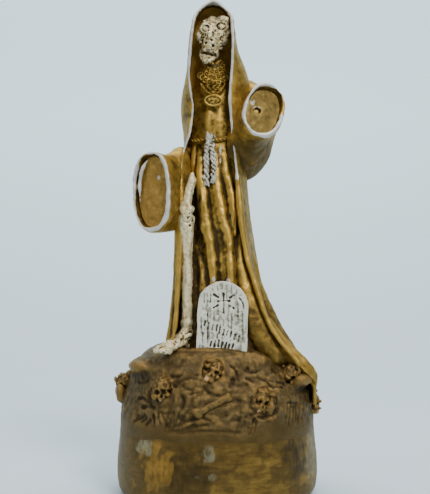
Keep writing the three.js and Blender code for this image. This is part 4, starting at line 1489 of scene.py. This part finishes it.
def colour(red, green, blue):
    """A paint colour from 0 to 255, as the renderer's linear values."""
    parts = (v / 255 for v in (red, green, blue))
    return (*(v / 12.92 if v <= 0.04045 else ((v + 0.055) / 1.055) ** 2.4 for v in parts), 1.0)


class Paint:
    """A painted material, built up in coats from the one underneath."""

    def __init__(self, name, base, metallic, roughness):
        self.material = bpy.data.materials.new(name)
        self.material.use_nodes = True
        self.tree = self.material.node_tree
        self.tree.nodes.clear()
        self.colour, self.metallic, self.roughness = base, metallic, roughness
        self.heights = []
        self.stretch = (1.0, 1.0, 0.15)

    def attribute(self, name):
        return place(self.tree, "ShaderNodeAttribute", attribute_name=name).outputs["Fac"]

    def group(self, group, inputs):
        return place(self.tree, "ShaderNodeGroup", inputs, node_tree=group).outputs[0]

    def worn(self, patch, ragged, bias, softness=0.2):
        """A mask of ridges and ragged patches. patch is their size in metres; a higher bias covers more."""
        inputs = {"Relief": self.attribute("relief"), "Shade": self.attribute("shade"), "Patch": patch,
                  "Ragged": ragged, "Bias": bias, "Softness": softness}
        return self.group(WORN_COAT, inputs)

    def streaks(self, size=0.0012, stretch=None):
        """Brush streaks; the smaller stretch is along an axis, the longer they run along it."""
        return self.group(BRUSH_MARKS, {"Size": size, "Stretch": stretch or self.stretch})

    def thinned(self, mask, strength):
        return math_node(self.tree, "MULTIPLY", mask, strength)

    def dragged(self, size, contrast, threshold, stretch=None):
        """Where a nearly dry brush leaves paint: the strongest of the streaks."""
        strong = self.thinned(self.streaks(size, stretch), contrast)
        return math_node(self.tree, "SUBTRACT", strong, threshold, clamp=True)

    def broken(self, mask, amount=0.6, size=0.0012):
        """A mask that dry brushing has left streaky at its edges."""
        streak = self.streaks(size)
        loose = self.thinned(math_node(self.tree, "SUBTRACT", streak, 0.5), 2 * amount)
        total = math_node(self.tree, "ADD", mask, loose)
        return ramp(self.tree, total, 0.35, 0.65)

    def soft_edge(self, mask):
        """A patch whose edge is softly uneven: stains, painted shade on the robes, and painted reflection on
        the drum.
        """
        spot = object_place(self.tree)
        noise = place(self.tree, "ShaderNodeTexNoise",
                      {"Vector": spot, "Scale": 220.0, "Detail": 6.0}).outputs[0]
        total = math_node(self.tree, "ADD", mask, math_node(self.tree, "SUBTRACT", noise, 0.5))
        return ramp(self.tree, total, 0.1, 0.95)

    def wash(self, mask, strength, size=0.002, stretch=None):
        """A thin, softly streaked layer over a patch: stains, and the painted reflection down the drum's
        right edge.
        """
        streak = ramp(self.tree, self.streaks(size, stretch), 0.36, 0.6, **{"To Min": 0.25, "To Max": 1.0})
        return self.thinned(self.thinned(self.soft_edge(mask), streak), strength)

    def coat(self, mask, base, metallic, roughness, thickness=0.0):
        """A coat over the ones before, where the mask is 1."""
        mix = place(self.tree, "ShaderNodeMix", {0: mask, 6: self.colour, 7: base}, data_type="RGBA")
        self.colour = mix.outputs[2]
        self.metallic = self.blend(mask, self.metallic, metallic)
        self.roughness = self.blend(mask, self.roughness, roughness)
        if thickness:
            self.heights.append((mask, thickness))
        return self

    def blend(self, mask, before, after):
        return place(self.tree, "ShaderNodeMix", {0: mask, 2: before, 3: after},
                     data_type="FLOAT").outputs[0]

    def mottle(self, size, low, high):
        """Uneven depth of colour all over."""
        spot = object_place(self.tree)
        noise = place(self.tree, "ShaderNodeTexNoise", {"Vector": spot, "Scale": 1 / size, "Detail": 6.0})
        level = place(self.tree, "ShaderNodeMapRange",
                      {"Value": noise.outputs[0], "From Min": 0.3, "From Max": 0.7,
                                                        "To Min": low, "To Max": high}).outputs[0]
        tint = place(self.tree, "ShaderNodeCombineColor", {0: level, 1: level, 2: level}).outputs[0]
        mix = place(self.tree, "ShaderNodeMix", {0: 1.0, 6: self.colour, 7: tint}, data_type="RGBA",
                    blend_type="MULTIPLY")
        self.colour = mix.outputs[2]
        return self

    def done(self, grit=0.0009, pit=0.003, depth=0.00018, streak_depth=0.0, tint=(1.0, 1.0, 1.0, 1.0)):
        """Joins the coats to the shader, with the paste's grain in its normal."""
        height = self.thinned(self.group(PASTE_GRAIN, {"Grit": grit, "Pit": pit}), depth)
        if streak_depth:
            height = math_node(self.tree, "ADD", height, self.thinned(self.streaks(), streak_depth))
        for mask, thickness in self.heights:
            height = math_node(self.tree, "ADD", height, self.thinned(mask, thickness))
        bump = place(self.tree, "ShaderNodeBump", {"Height": height, "Distance": 1.0, "Strength": 1.0})
        shader = place(self.tree, "ShaderNodeBsdfPrincipled", {
            "Base Color": self.colour, "Metallic": self.metallic, "Roughness": self.roughness,
            "Specular Tint": tint, "Specular IOR Level": 0.35, "Normal": bump.outputs[0]})
        output = place(self.tree, "ShaderNodeOutputMaterial")
        self.tree.links.new(shader.outputs[0], output.inputs[0])
        return self.material


# ---- Paints ------------------------------------------------------------------
WARM = (0.78, 0.68, 0.5, 1.0)  # the tint that gilt paint gives to what it reflects
BROWN = colour(46, 33, 10)
GOLD = colour(116, 91, 36)
BRIGHT_GOLD = colour(178, 143, 66)
SILVER_WHITE = colour(196, 195, 186)
BONE_WHITE = colour(212, 190, 134)
# The brown of painted shade.
SHADE_BROWN = colour(38, 27, 9)
FOOT_BROWN = colour(82, 63, 29)  # the paste where mound and drum meet, one colour on both


def robe_paint(name, dark_colour=SHADE_BROWN, bias=0.0):
    paint = Paint(name, BROWN, 0.4, 0.5)
    paint.coat(paint.worn(0.016, 0.45, 0.2 + bias, 0.42), GOLD, 0.6, 0.42, 0.00003)
    paint.coat(paint.worn(0.008, 0.6, -0.1 + bias, 0.3), BRIGHT_GOLD, 0.75, 0.36)
    # Painted shade where the 'dark' mask is set; on the tunic it also darkens the cloth that spreads to the
    # mantle's right edge.
    paint.coat(paint.soft_edge(paint.thinned(paint.attribute("dark"), 0.85)), dark_colour, 0.35, 0.5)
    # Painted light: a brighter plain gold inside the hood and the mantle.
    paint.coat(paint.thinned(paint.attribute("lining"), 0.8), colour(150, 112, 40), 0.4, 0.45)
    paint.coat(paint.broken(paint.attribute("silver"), 0.55, 0.0011), SILVER_WHITE, 0.3, 0.42, 0.00008)
    paint.mottle(0.006, 0.76, 1.12)
    return paint.done(0.0008, 0.0035, 0.00022, 0.00008, WARM)


def bone_paint(name):
    paint = Paint(name, colour(74, 54, 22), 0.2, 0.5)
    paint.coat(paint.worn(0.005, 0.5, 0.16, 0.22), BONE_WHITE, 0.25, 0.42, 0.00005)
    paint.coat(paint.worn(0.003, 0.6, -0.1, 0.2), colour(236, 222, 176), 0.2, 0.38)
    paint.coat(paint.dragged(0.0022, 4.2, 2.0), colour(104, 80, 38), 0.3, 0.45)
    # Painted shade where the 'dark' mask is set, on the skull and the jaw.
    paint.coat(paint.thinned(paint.attribute("dark"), 0.85), SHADE_BROWN, 0.2, 0.6)
    paint.mottle(0.004, 0.78, 1.12)
    return paint.done(0.0006, 0.0016, 0.0002)


def silver_paint(name, grey=colour(164, 159, 136), white=colour(224, 221, 202), bias=0.0):
    paint = Paint(name, colour(50, 43, 28), 0.2, 0.55)
    paint.coat(paint.worn(0.006, 0.6, 0.18 + bias, 0.14), grey, 0.35, 0.42, 0.00006)
    paint.coat(paint.broken(paint.worn(0.004, 0.6, bias, 0.2), 0.8, 0.0008), white, 0.3, 0.38)
    paint.coat(paint.thinned(paint.dragged(0.0007, 4.0, 2.3), 0.8), colour(92, 84, 62), 0.3, 0.5)
    paint.mottle(0.004, 0.8, 1.08)
    return paint.done(0.0006, 0.0018, 0.00018, 0.0002)


def earth_paint(name):
    paint = Paint(name, colour(44, 32, 13), 0.35, 0.5)
    paint.coat(paint.worn(0.02, 0.5, 0.16, 0.34), colour(82, 64, 33), 0.45, 0.46, 0.00003)
    paint.coat(paint.worn(0.012, 0.9, -0.2, 0.3), colour(88, 75, 48), 0.4, 0.44)
    paint.coat(paint.worn(0.005, 0.6, -0.3, 0.24), colour(124, 97, 52), 0.6, 0.38)
    paint.coat(paint.thinned(paint.attribute("dark"), 0.7), FOOT_BROWN, 0.5, 0.42)
    paint.mottle(0.006, 0.8, 1.14)
    return paint.done(0.001, 0.004, 0.0005, tint=WARM)


def skull_earth_paint(name):
    paint = Paint(name, colour(38, 27, 10), 0.4, 0.42)
    paint.coat(paint.worn(0.004, 0.6, 0.08, 0.3), colour(82, 64, 34), 0.5, 0.4, 0.00004)
    paint.coat(paint.worn(0.003, 0.5, -0.22, 0.2), colour(132, 103, 54), 0.6, 0.34)
    paint.coat(paint.attribute("bare"), colour(190, 150, 108), 0.0, 0.6)
    paint.mottle(0.006, 0.8, 1.15)
    return paint.done(0.0008, 0.002, 0.00035, tint=WARM)


def drum_paint(name):
    paint = Paint(name, colour(60, 46, 22), 0.45, 0.44)
    level = (0.22, 0.22, 1.0)
    paint.coat(paint.worn(0.03, 0.9, 0.0, 0.4), colour(88, 68, 32), 0.55, 0.4)
    paint.coat(paint.thinned(paint.dragged(0.0016, 2.4, 0.95, level), 0.6), colour(116, 90, 42), 0.6, 0.36)
    paint.coat(paint.wash(paint.attribute("gilt"), 0.85, 0.002, level), colour(138, 108, 50), 0.65, 0.36)
    paint.coat(paint.wash(paint.attribute("soot"), 0.9), colour(46, 36, 18), 0.4, 0.42)
    paint.coat(paint.wash(paint.attribute("ochre"), 1.0, 0.0026, (1.0, 1.0, 0.5)), colour(138, 104, 42),
               0.45, 0.4)
    # Pale patches, and the painted reflection down the right edge.
    paint.coat(paint.wash(paint.attribute("pale"), 0.85, 0.0024, (1.0, 1.0, 0.6)), colour(138, 134, 106),
               0.3, 0.44)
    paint.coat(paint.attribute("foot"), FOOT_BROWN, 0.5, 0.42)
    paint.mottle(0.008, 0.74, 1.16)
    return paint.done(0.0012, 0.006, 0.00016, 0.00008, WARM)


def disc_paint(name, gold, bright):
    paint = Paint(name, BROWN, 0.35, 0.5)
    paint.coat(paint.worn(0.006, 0.4, 0.3, 0.3), gold, 0.6, 0.46, 0.00004)
    paint.coat(paint.worn(0.003, 0.5, -0.22, 0.24), bright, 0.7, 0.4)
    paint.coat(paint.attribute("bare"), colour(196, 184, 170), 0.0, 0.6)
    # Painted shadow inside the holes.
    paint.coat(paint.attribute("dark"), colour(12, 8, 3), 0.0, 0.8)
    paint.mottle(0.004, 0.76, 1.12)
    return paint.done(0.0007, 0.002, 0.00026, tint=WARM)


# The colour given to each is that of its painted shade.
ROBE_PAINT = robe_paint("gilt_robe", colour(84, 64, 26))
TUNIC_PAINT = robe_paint("gilt_tunic", colour(58, 41, 17), 0.02)
BONE_PAINT = bone_paint("ivory_bone")
SILVER_PAINT = silver_paint("brushed_silver")
TARNISHED_PAINT = silver_paint("tarnished_silver", colour(132, 125, 104), colour(192, 188, 170), -0.12)
EARTH_PAINT = earth_paint("crumbled_earth")
SKULL_EARTH_PAINT = skull_earth_paint("earthy_skull")
DRUM_PAINT = drum_paint("brushed_drum")
# Lit and shaded copies of one gold paint: painted light on the right disc, painted shade on the left one.
RIGHT_DISC_LIT_PAINT = disc_paint("gold_disc_painted_light", colour(146, 115, 54), colour(186, 149, 78))
LEFT_DISC_SHADED_PAINT = disc_paint("gold_disc_painted_shade", colour(102, 84, 40), colour(136, 112, 58))


# ---- Cords and beads, made by Geometry Nodes ---------------------------------
GEOMETRY = "NodeSocketGeometry"


def make_twisted_cord():
    """Strands that wind round a path."""
    inputs = [("Path", GEOMETRY, None), ("Strands", "NodeSocketInt", 2), ("Strand Radius", NUMBER, 0.0006),
              ("Winding Radius", NUMBER, 0.0006), ("Pitch", NUMBER, 0.006),
              ("Paint", "NodeSocketMaterial", None)]
    tree, given, result = new_group("twisted_cord", "GeometryNodeTree", inputs, [("Cord", GEOMETRY)])
    even = place(tree, "GeometryNodeResampleCurve", {"Curve": given["Path"], "Length": 0.0004},
                 mode="LENGTH")
    copies = place(tree, "GeometryNodeDuplicateElements",
                   {"Geometry": even.outputs[0], "Amount": given["Strands"]},
                   domain="SPLINE")
    walked = place(tree, "GeometryNodeSplineParameter").outputs["Length"]
    turn = math_node(tree, "MULTIPLY", math_node(tree, "DIVIDE", walked, given["Pitch"]), 2 * math.pi)
    share = math_node(tree, "DIVIDE", copies.outputs["Duplicate Index"], given["Strands"])
    angle = math_node(tree, "ADD", turn, math_node(tree, "MULTIPLY", share, 2 * math.pi))
    normal = place(tree, "GeometryNodeInputNormal").outputs[0]
    tangent = place(tree, "GeometryNodeInputTangent").outputs[0]
    side = vector_node(tree, "CROSS_PRODUCT", {0: tangent, 1: normal})
    out = vector_node(tree, "SCALE", {0: normal, "Scale": math_node(tree, "COSINE", angle)})
    over = vector_node(tree, "SCALE", {0: side, "Scale": math_node(tree, "SINE", angle)})
    round_path = vector_node(tree, "ADD", {0: out, 1: over})
    offset = vector_node(tree, "SCALE", {0: round_path, "Scale": given["Winding Radius"]})
    wound = place(tree, "GeometryNodeSetPosition", {"Geometry": copies.outputs[0], "Offset": offset})
    section = place(tree, "GeometryNodeCurvePrimitiveCircle",
                    {"Resolution": 10, "Radius": given["Strand Radius"]})
    body = place(tree, "GeometryNodeCurveToMesh",
                 {"Curve": wound.outputs[0], "Profile Curve": section.outputs[0],
                                                   "Fill Caps": True})
    return finish_tree(tree, body.outputs[0], given["Paint"], result)


def spaced_out(tree, given):
    """Points along the path, a spacing apart."""
    inputs = {"Curve": given["Path"], "Length": given["Spacing"]}
    return place(tree, "GeometryNodeCurveToPoints", inputs, mode="LENGTH")


def make_bead_string():
    """Uneven oval beads, evenly spaced on a path."""
    inputs = [("Path", GEOMETRY, None), ("Spacing", NUMBER, 0.003), ("Bead Radius", NUMBER, 0.0012),
              ("Stretch", NUMBER, 1.3), ("Seed", "NodeSocketInt", 1), ("Paint", "NodeSocketMaterial", None)]
    tree, given, result = new_group("bead_string", "GeometryNodeTree", inputs, [("Beads", GEOMETRY)])
    spots = spaced_out(tree, given)
    bead = place(tree, "GeometryNodeMeshIcoSphere", {"Radius": given["Bead Radius"], "Subdivisions": 3})
    size = random_size(tree, 0.8, 1.15, given["Seed"])
    length = math_node(tree, "MULTIPLY", size, given["Stretch"])
    scale = place(tree, "ShaderNodeCombineXYZ", {0: size, 1: size, 2: length}).outputs[0]
    strung = threaded(tree, spots, bead, spots.outputs["Rotation"], scale)
    return finish_tree(tree, strung, given["Paint"], result)


def threaded(tree, spots, bead, turn, scale):
    """A copy of the bead on every spot."""
    inputs = {"Points": spots.outputs[0], "Instance": bead.outputs[0], "Rotation": turn, "Scale": scale}
    return place(tree, "GeometryNodeInstanceOnPoints", inputs).outputs[0]


def make_ring_string():
    """Flat rings with a small bead in each, evenly spaced on a path and facing forwards."""
    inputs = [("Path", GEOMETRY, None), ("Spacing", NUMBER, 0.003), ("Ring Radius", NUMBER, 0.0014),
              ("Wire Radius", NUMBER, 0.0004), ("Seed", "NodeSocketInt", 1),
              ("Paint", "NodeSocketMaterial", None)]
    tree, given, result = new_group("ring_string", "GeometryNodeTree", inputs, [("Rings", GEOMETRY)])
    spots = spaced_out(tree, given)
    loop = place(tree, "GeometryNodeCurvePrimitiveCircle",
                 {"Resolution": 20, "Radius": given["Ring Radius"]})
    wire = place(tree, "GeometryNodeCurvePrimitiveCircle", {"Resolution": 8, "Radius": given["Wire Radius"]})
    ring_mesh = place(tree, "GeometryNodeCurveToMesh",
                      {"Curve": loop.outputs[0], "Profile Curve": wire.outputs[0]})
    bead_radius = math_node(tree, "MULTIPLY", given["Ring Radius"], 0.5)
    bead = place(tree, "GeometryNodeMeshIcoSphere", {"Radius": bead_radius, "Subdivisions": 2})
    both = place(tree, "GeometryNodeJoinGeometry")
    for part in (ring_mesh, bead):
        tree.links.new(part.outputs[0], both.inputs[0])
    turn = place(tree, "FunctionNodeRandomValue",
                 {0: (1.25, -0.4, -0.4), 1: (1.9, 0.4, 0.4), "Seed": given["Seed"]},
                 data_type="FLOAT_VECTOR")
    size = random_size(tree, 0.8, 1.2, given["Seed"])
    strung = threaded(tree, spots, both, turn.outputs[0], size)
    return finish_tree(tree, strung, given["Paint"], result)


def finish_tree(tree, geometry, paint, result):
    """Every tree's end: real geometry, smooth, with its paint."""
    real = place(tree, "GeometryNodeRealizeInstances", {"Geometry": geometry})
    smooth = place(tree, "GeometryNodeSetShadeSmooth", {"Geometry": real.outputs[0]})
    painted = place(tree, "GeometryNodeSetMaterial", {"Geometry": smooth.outputs[0], "Material": paint})
    tree.links.new(painted.outputs[0], result.inputs[0])
    return tree


TWISTED_CORD = make_twisted_cord()
BEAD_STRING = make_bead_string()
RING_STRING = make_ring_string()


def grown(name, paths, tree, settings):
    """A plain gilt mesh that a tree grows from paths of (x, y, z) points in millimetres."""
    curve = bpy.data.curves.new(name + "_path", "CURVE")
    curve.dimensions = "3D"
    for path in paths:
        line = smooth_path([point[:3] for point in path], 10 * len(path)) * MM
        spline = curve.splines.new("POLY")
        spline.points.add(len(line) - 1)
        spline.points.foreach_set("co", np.hstack([line, np.ones((len(line), 1))]).ravel())
    holder = bpy.data.objects.new(name + "_path", curve)
    show(holder)
    modifier = holder.modifiers.new("grow", "NODES")
    modifier.node_group = tree
    names = {item.name: item.identifier for item in tree.interface.items_tree if item.in_out == "INPUT"}
    for title, value in {**settings, "Paint": TUNIC_PAINT}.items():
        modifier[names[title]] = value
    ready = holder.evaluated_get(bpy.context.evaluated_depsgraph_get())
    mesh = bpy.data.meshes.new_from_object(ready)
    mesh.name = name
    bpy.data.objects.remove(holder)
    piece = bpy.data.objects.new(name, mesh)
    show(piece)
    for attribute in ("relief", "shade"):
        store(mesh, attribute, np.full(len(mesh.vertices), 0.56))
    return piece


# ---- Collar, pendant and belt ------------------------------------------------
def collar_path(strand):
    """One strand of the collar; each lower one hangs wider and stands further out."""
    drop, spread, out = 3.4 * strand, 1.5 * strand, 1.0 * strand
    return [(-7 - spread, -8.8 - out, 253.6 - drop), (-5.4 - spread / 2, -12.6 - out, 250.4 - drop),
            (-1.8, -14.4 - out, 248 - drop), (1.8 + spread / 2, -12.8 - out, 250.2 - drop),
            (3.8 + spread, -9 - out, 253.4 - drop)]


def collar_strand(number):
    name = f"collar_strand_{number}"
    path = collar_path(number - 1)
    settings = {"Spacing": 0.0027, "Ring Radius": 0.00135, "Wire Radius": 0.00046, "Seed": number}
    rings = grown(name, [path], RING_STRING, settings)
    settings = {"Spacing": 0.0024, "Bead Radius": 0.0009, "Stretch": 1.2, "Seed": number}
    rows = [[(x, y + 0.6, z + 1.5) for x, y, z in path]]
    if number == 1:
        rows.append([(-4.4, -12.4, 255.2), (-1.4, -14, 252.6), (1.8, -12.6, 255)])
        rows.append([(-2.8, -13.2, 253.8), (0.6, -13.4, 254.2)])
    beads = grown(name + "_beads", rows, BEAD_STRING, settings)
    return joined(rings, beads)


def joined(*pieces):
    """One object that holds all the pieces' meshes; it keeps the first one's name."""
    keep = pieces[0]
    with bpy.context.temp_override(active_object=keep, selected_editable_objects=list(pieces)):
        bpy.ops.object.join()
    return keep


CHAIN = [(-9.4, -14.4, 241.4), (-7.4, -16.6, 238), (-5.2, -17.6, 235.6), (-2.2, -18.2, 234.6),
         (1.2, -17.6, 235.8), (3.2, -16.6, 238.2), (5, -14.6, 241.6)]
INNER_CHAIN = [(-6.4, -16, 240.6), (-4.4, -17, 238.2), (-2.2, -17.6, 237), (0, -17, 238.2), (2, -16, 240.6)]


def pendant_chain():
    settings = {"Strands": 2, "Strand Radius": 0.0005, "Winding Radius": 0.00045, "Pitch": 0.0036}
    cords = grown("pendant_chain", [CHAIN, INNER_CHAIN], TWISTED_CORD, settings)
    drop = [[(-2.3, -18.6, 241.2), (-2.2, -18.4, 238.4), (-2.2, -18.6, 235.6)]]
    settings = {"Spacing": 0.0026, "Bead Radius": 0.0012, "Stretch": 1.0, "Seed": 8}
    return joined(cords, grown("pendant_beads", drop, BEAD_STRING, settings))


MEDALLION_BUMPS = [(-2.4, 0.2, 0.9), (-1, 0.9, 0.8), (0.4, 0.2, 1.0), (1.6, 0.8, 0.7), (2.6, -0.3, 0.8),
                   (-0.4, -1, 0.8)]


def medallion():
    low, high = box_mm("medallion")
    centre = (low + high) / 2 + [0, -0.2, 0]
    clay = Clay(low - 2.5, high + 2.5, 0.3)
    clay.add(ball(centre, (5.4, 1.3, 3.4)))
    rim = [(centre[0] + 4.9 * math.cos(a), centre[1] - 0.7, centre[2] + 3 * math.sin(a), 0.68)
           for a in np.linspace(0, 2 * math.pi, 17)]
    clay.add(stroke(rim, 64), 0.3)
    for x, z, radius in MEDALLION_BUMPS:
        clay.add(ball((centre[0] + x, centre[1] - 1.1, centre[2] + z), (radius, 0.7, radius)), 0.3)
    return sculpted("medallion", clay, lumps=[(1.2, 0.12, 161)])


BELT = [(-14.2, -12.6, 208.4), (-10.4, -15.8, 208.4), (-6.4, -17.2, 208.6), (-2.4, -17.8, 208.2),
        (1, -17.6, 208.2), (4.8, -16.8, 209), (8.4, -15.4, 210.8), (11.8, -13.2, 212.6)]
RIGHT_TAIL = [(-5, -18.6, 208.4), (-5.7, -19.4, 204), (-6.1, -20.2, 198), (-6, -21.2, 191),
              (-6.1, -22.6, 182.8)]
LEFT_TAIL = [(-3.8, -18.6, 208), (-3, -19.4, 203), (-2.2, -20.4, 197), (-1.8, -21.4, 191),
             (-2.3, -22.8, 184.4)]


def belt():
    settings = {"Strands": 2, "Strand Radius": 0.00072, "Winding Radius": 0.00062, "Pitch": 0.0044}
    return grown("belt", [BELT], TWISTED_CORD, settings)


def belt_tail(name, path, seed):
    """Two strands wound round each other, crusted with paste and frayed at the end."""
    line = smooth_path(path, 40)
    clay = Clay(line.min(axis=0) - 3.4, line.max(axis=0) + 3.4, 0.32)
    for side in (0, math.pi):
        angles = side + np.linspace(0, 9 * math.pi, len(line))
        round_about = np.stack([0.75 * np.cos(angles), 0.6 * np.sin(angles), 0 * angles], 1)
        clay.add(stroke([(*spot, 0.82) for spot in line + round_about]), 0.15)
    chance = np.random.default_rng(seed)
    for x, y, z in line[::2]:
        size = chance.uniform(0.4, 0.95)
        spot = (x + chance.uniform(-1.5, 1.5), y - 0.3, z + chance.uniform(-0.8, 0.8))
        clay.add(ball(spot, (size, size, 1.4 * size)), 0.2)
    x, y, z = line[-1]
    for lean in (-1.4, 0, 1.3):
        clay.add(stroke([(x, y, z + 1, 0.6), (x + lean, y - 0.2, z - 1.8, 0.4)]), 0.2)
    return sculpted(
        name, clay, lumps=[(2.4, 0.3, seed), (1, 0.22, seed + 1)], relief=0.22,
    )


def belt_knot():
    centre = middle_mm("belt_knot") + [0, -0.4, 0.4]
    clay = Clay(centre - 6, centre + 6, 0.3)
    for turn in (35, -30, 80):
        x, z = 2.1 * math.cos(math.radians(turn)), 2.1 * math.sin(math.radians(turn))
        low, top, high = (centre + shift for shift in ([-x, 0.8, -z], [0, -0.9, 0], [x, 0.8, z]))
        clay.add(stroke([(*low, 0.9), (*top, 1.25), (*high, 0.9)]), 0.35)
    chance = np.random.default_rng(44)
    for _ in range(14):
        spot = centre + chance.uniform(-2.6, 2.6, 3) * [1, 0.3, 1] + [0, -0.7, 0]
        clay.add(ball(spot, chance.uniform(0.4, 0.9, 3)), 0.2)
    return sculpted(
        "belt_knot", clay, lumps=[(1.2, 0.3, 164)], relief=0.22,
    )


# ---- Card and wood -----------------------------------------------------------
def card_paint():
    paint = Paint("grey_card", colour(122, 108, 84), 0.0, 0.8)
    fibres = paint.streaks(0.002, (1.0, 0.1, 1.0))
    paint.coat(paint.thinned(fibres, 0.6), colour(150, 136, 108), 0.0, 0.85)
    paint.mottle(0.006, 0.85, 1.1)
    return paint.done(0.0006, 0.004, 0.00005)


def wood_paint():
    paint = Paint("bare_wood", colour(176, 134, 84), 0.0, 0.6)
    grain = paint.streaks(0.0015, (1.0, 1.0, 0.06))
    paint.coat(grain, colour(128, 88, 48), 0.0, 0.65)
    paint.mottle(0.01, 0.85, 1.1)
    return paint.done(0.0005, 0.004, 0.00003)


# ---- Assembly ----------------------------------------------------------------
def fit(piece, node, paint):
    """Puts a finished piece in place of its CAD node."""
    piece.name = piece.data.name = node + "_made"
    if not piece.data.materials:
        piece.data.materials.append(paint)
    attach(piece, "root")
    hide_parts(node)


def build_robes():
    fit(mantle(), "mantle", ROBE_PAINT)
    fit(tunic(), "tunic", TUNIC_PAINT)
    fit(right_sleeve(), "right_sleeve", ROBE_PAINT)
    fit(left_sleeve(), "left_sleeve", ROBE_PAINT)
    disc = cuff_disc("right_cuff", RIGHT_CUFF, (-10.2, 9.9, -20.6, 20.6), [(3.2, 8, 1.0)],
                     [(3.2, 8, 2.0, -2.6), (3, -0.8, 1.2, -2.2)])
    fit(disc, "right_cuff_plug", RIGHT_DISC_LIT_PAINT)
    chips = [(-7, 1.4, 1.6), (-4.6, -0.4, 1.3), (-2.4, 0.6, 1.0), (-6.4, 3.6, 0.9)]
    disc = cuff_disc("left_cuff", LEFT_CUFF, (-9.9, 9.9, -17, 15), chips, [(-3, -1.4, 2, 2.4)])
    fit(disc, "left_cuff_plug", LEFT_DISC_SHADED_PAINT)


def build_jewellery():
    for number in (1, 2, 3):
        fit(collar_strand(number), f"collar_strand_{number}", TUNIC_PAINT)
    fit(pendant_chain(), "pendant_chain", TUNIC_PAINT)
    fit(medallion(), "medallion", TUNIC_PAINT)
    fit(belt(), "belt", TUNIC_PAINT)
    fit(belt_knot(), "belt_knot", TARNISHED_PAINT)
    fit(belt_tail("right_tail", RIGHT_TAIL, 201), "belt_tail_right", TARNISHED_PAINT)
    fit(belt_tail("left_tail", LEFT_TAIL, 205), "belt_tail_left", TARNISHED_PAINT)


def build_bones():
    for make, node in ((skull, "cranium"), (jaw, "jaw"), (neck, "neck"), (thigh_bone, "thigh_bone"),
                       (kneecap, "kneecap"), (shin_bone, "shin_bone"), (foot, "foot")):
        fit(make(), node, BONE_PAINT)


def build_ground():
    fit(gravestone(), "gravestone", SILVER_PAINT)
    fit(mound(), "mound", EARTH_PAINT)
    for number, node in enumerate(SKULL_SPOTS):
        fit(buried_skull(node, 170 + 3 * number), node, SKULL_EARTH_PAINT)
    fit(mound_bone(), "mound_bone", EARTH_PAINT)
    fit(base_drum(), "base_drum", DRUM_PAINT)


def paint_kept_nodes():
    """The CAD nodes that stay: the card under the drum, and the wooden core inside."""
    for node, paint in (("bottom_board", card_paint()), ("core_post", wood_paint())):
        kept = bpy.data.objects[node]
        kept.data.materials.clear()
        kept.data.materials.append(paint)


build_robes()
build_jewellery()
build_bones()
build_ground()
paint_kept_nodes()


# ---- Floor and light ---------------------------------------------------------
def make_backdrop():
    """A pale sheet that lies under the figure and curves up behind it."""
    line = [(-1.6, 0.0), (0.5, 0.0)]
    line += [(0.5 + 0.5 * math.sin(a), 0.5 - 0.5 * math.cos(a)) for a in np.linspace(0, math.pi / 2, 20)[1:]]
    line.append((1.0, 2.4))
    points = [(x, y, z) for y, z in line for x in (-2.2, 2.2)]
    faces = [(2 * i, 2 * i + 1, 2 * i + 3, 2 * i + 2) for i in range(len(line) - 1)]
    mesh = bpy.data.meshes.new("backdrop")
    mesh.from_pydata(points, [], faces)
    mesh.polygons.foreach_set("use_smooth", np.ones(len(faces), bool))
    material = bpy.data.materials.new("backdrop_paper")
    material.use_nodes = True
    shader = material.node_tree.nodes["Principled BSDF"]
    tree = material.node_tree
    spot = object_place(tree)
    height = place(tree, "ShaderNodeSeparateXYZ", {0: spot}).outputs["Z"]
    raised = place(tree, "ShaderNodeMapRange", {"Value": height, "From Max": 0.35}).outputs[0]
    # Painted light falloff: darker on the floor, lighter up the curve and the wall, by height up to 0.35 m.
    painted_light_falloff = place(tree, "ShaderNodeMix", {0: raised, 6: colour(188, 202, 209), 7: colour(218, 241, 250)},
                 data_type="RGBA")
    tree.links.new(painted_light_falloff.outputs[2], shader.inputs["Base Color"])
    shader.inputs["Roughness"].default_value = 0.9
    mesh.materials.append(material)
    piece = bpy.data.objects.new("backdrop", mesh)
    show(piece)


def soft_light(name, place_at, size, power, aim=(0, 0, 0.15)):
    lamp = bpy.data.lights.new(name, "AREA")
    lamp.shape = "RECTANGLE"
    lamp.size, lamp.size_y = size
    lamp.energy = power
    holder = bpy.data.objects.new(name, lamp)
    holder.location = place_at
    holder.rotation_euler = (Vector(aim) - Vector(place_at)).to_track_quat("-Z", "Y").to_euler()
    show(holder)


def make_world():
    world = bpy.data.worlds.new("studio")
    world.use_nodes = True
    back = world.node_tree.nodes["Background"]
    back.inputs["Color"].default_value = colour(214, 220, 224)
    back.inputs["Strength"].default_value = 0.25
    bpy.context.scene.world = world


make_backdrop()
make_world()
soft_light("main_light", (0.42, -0.85, 0.95), (0.4, 0.4), 14.5)
soft_light("side_light", (-0.95, -0.45, 0.6), (0.35, 0.9), 3)
soft_light("top_light", (0.0, 0.05, 1.3), (0.9, 0.6), 6.5)
soft_light("backdrop_light", (0, 0.25, 1.6), (2.6, 0.3), 31, aim=(0, 1.0, 0.45))
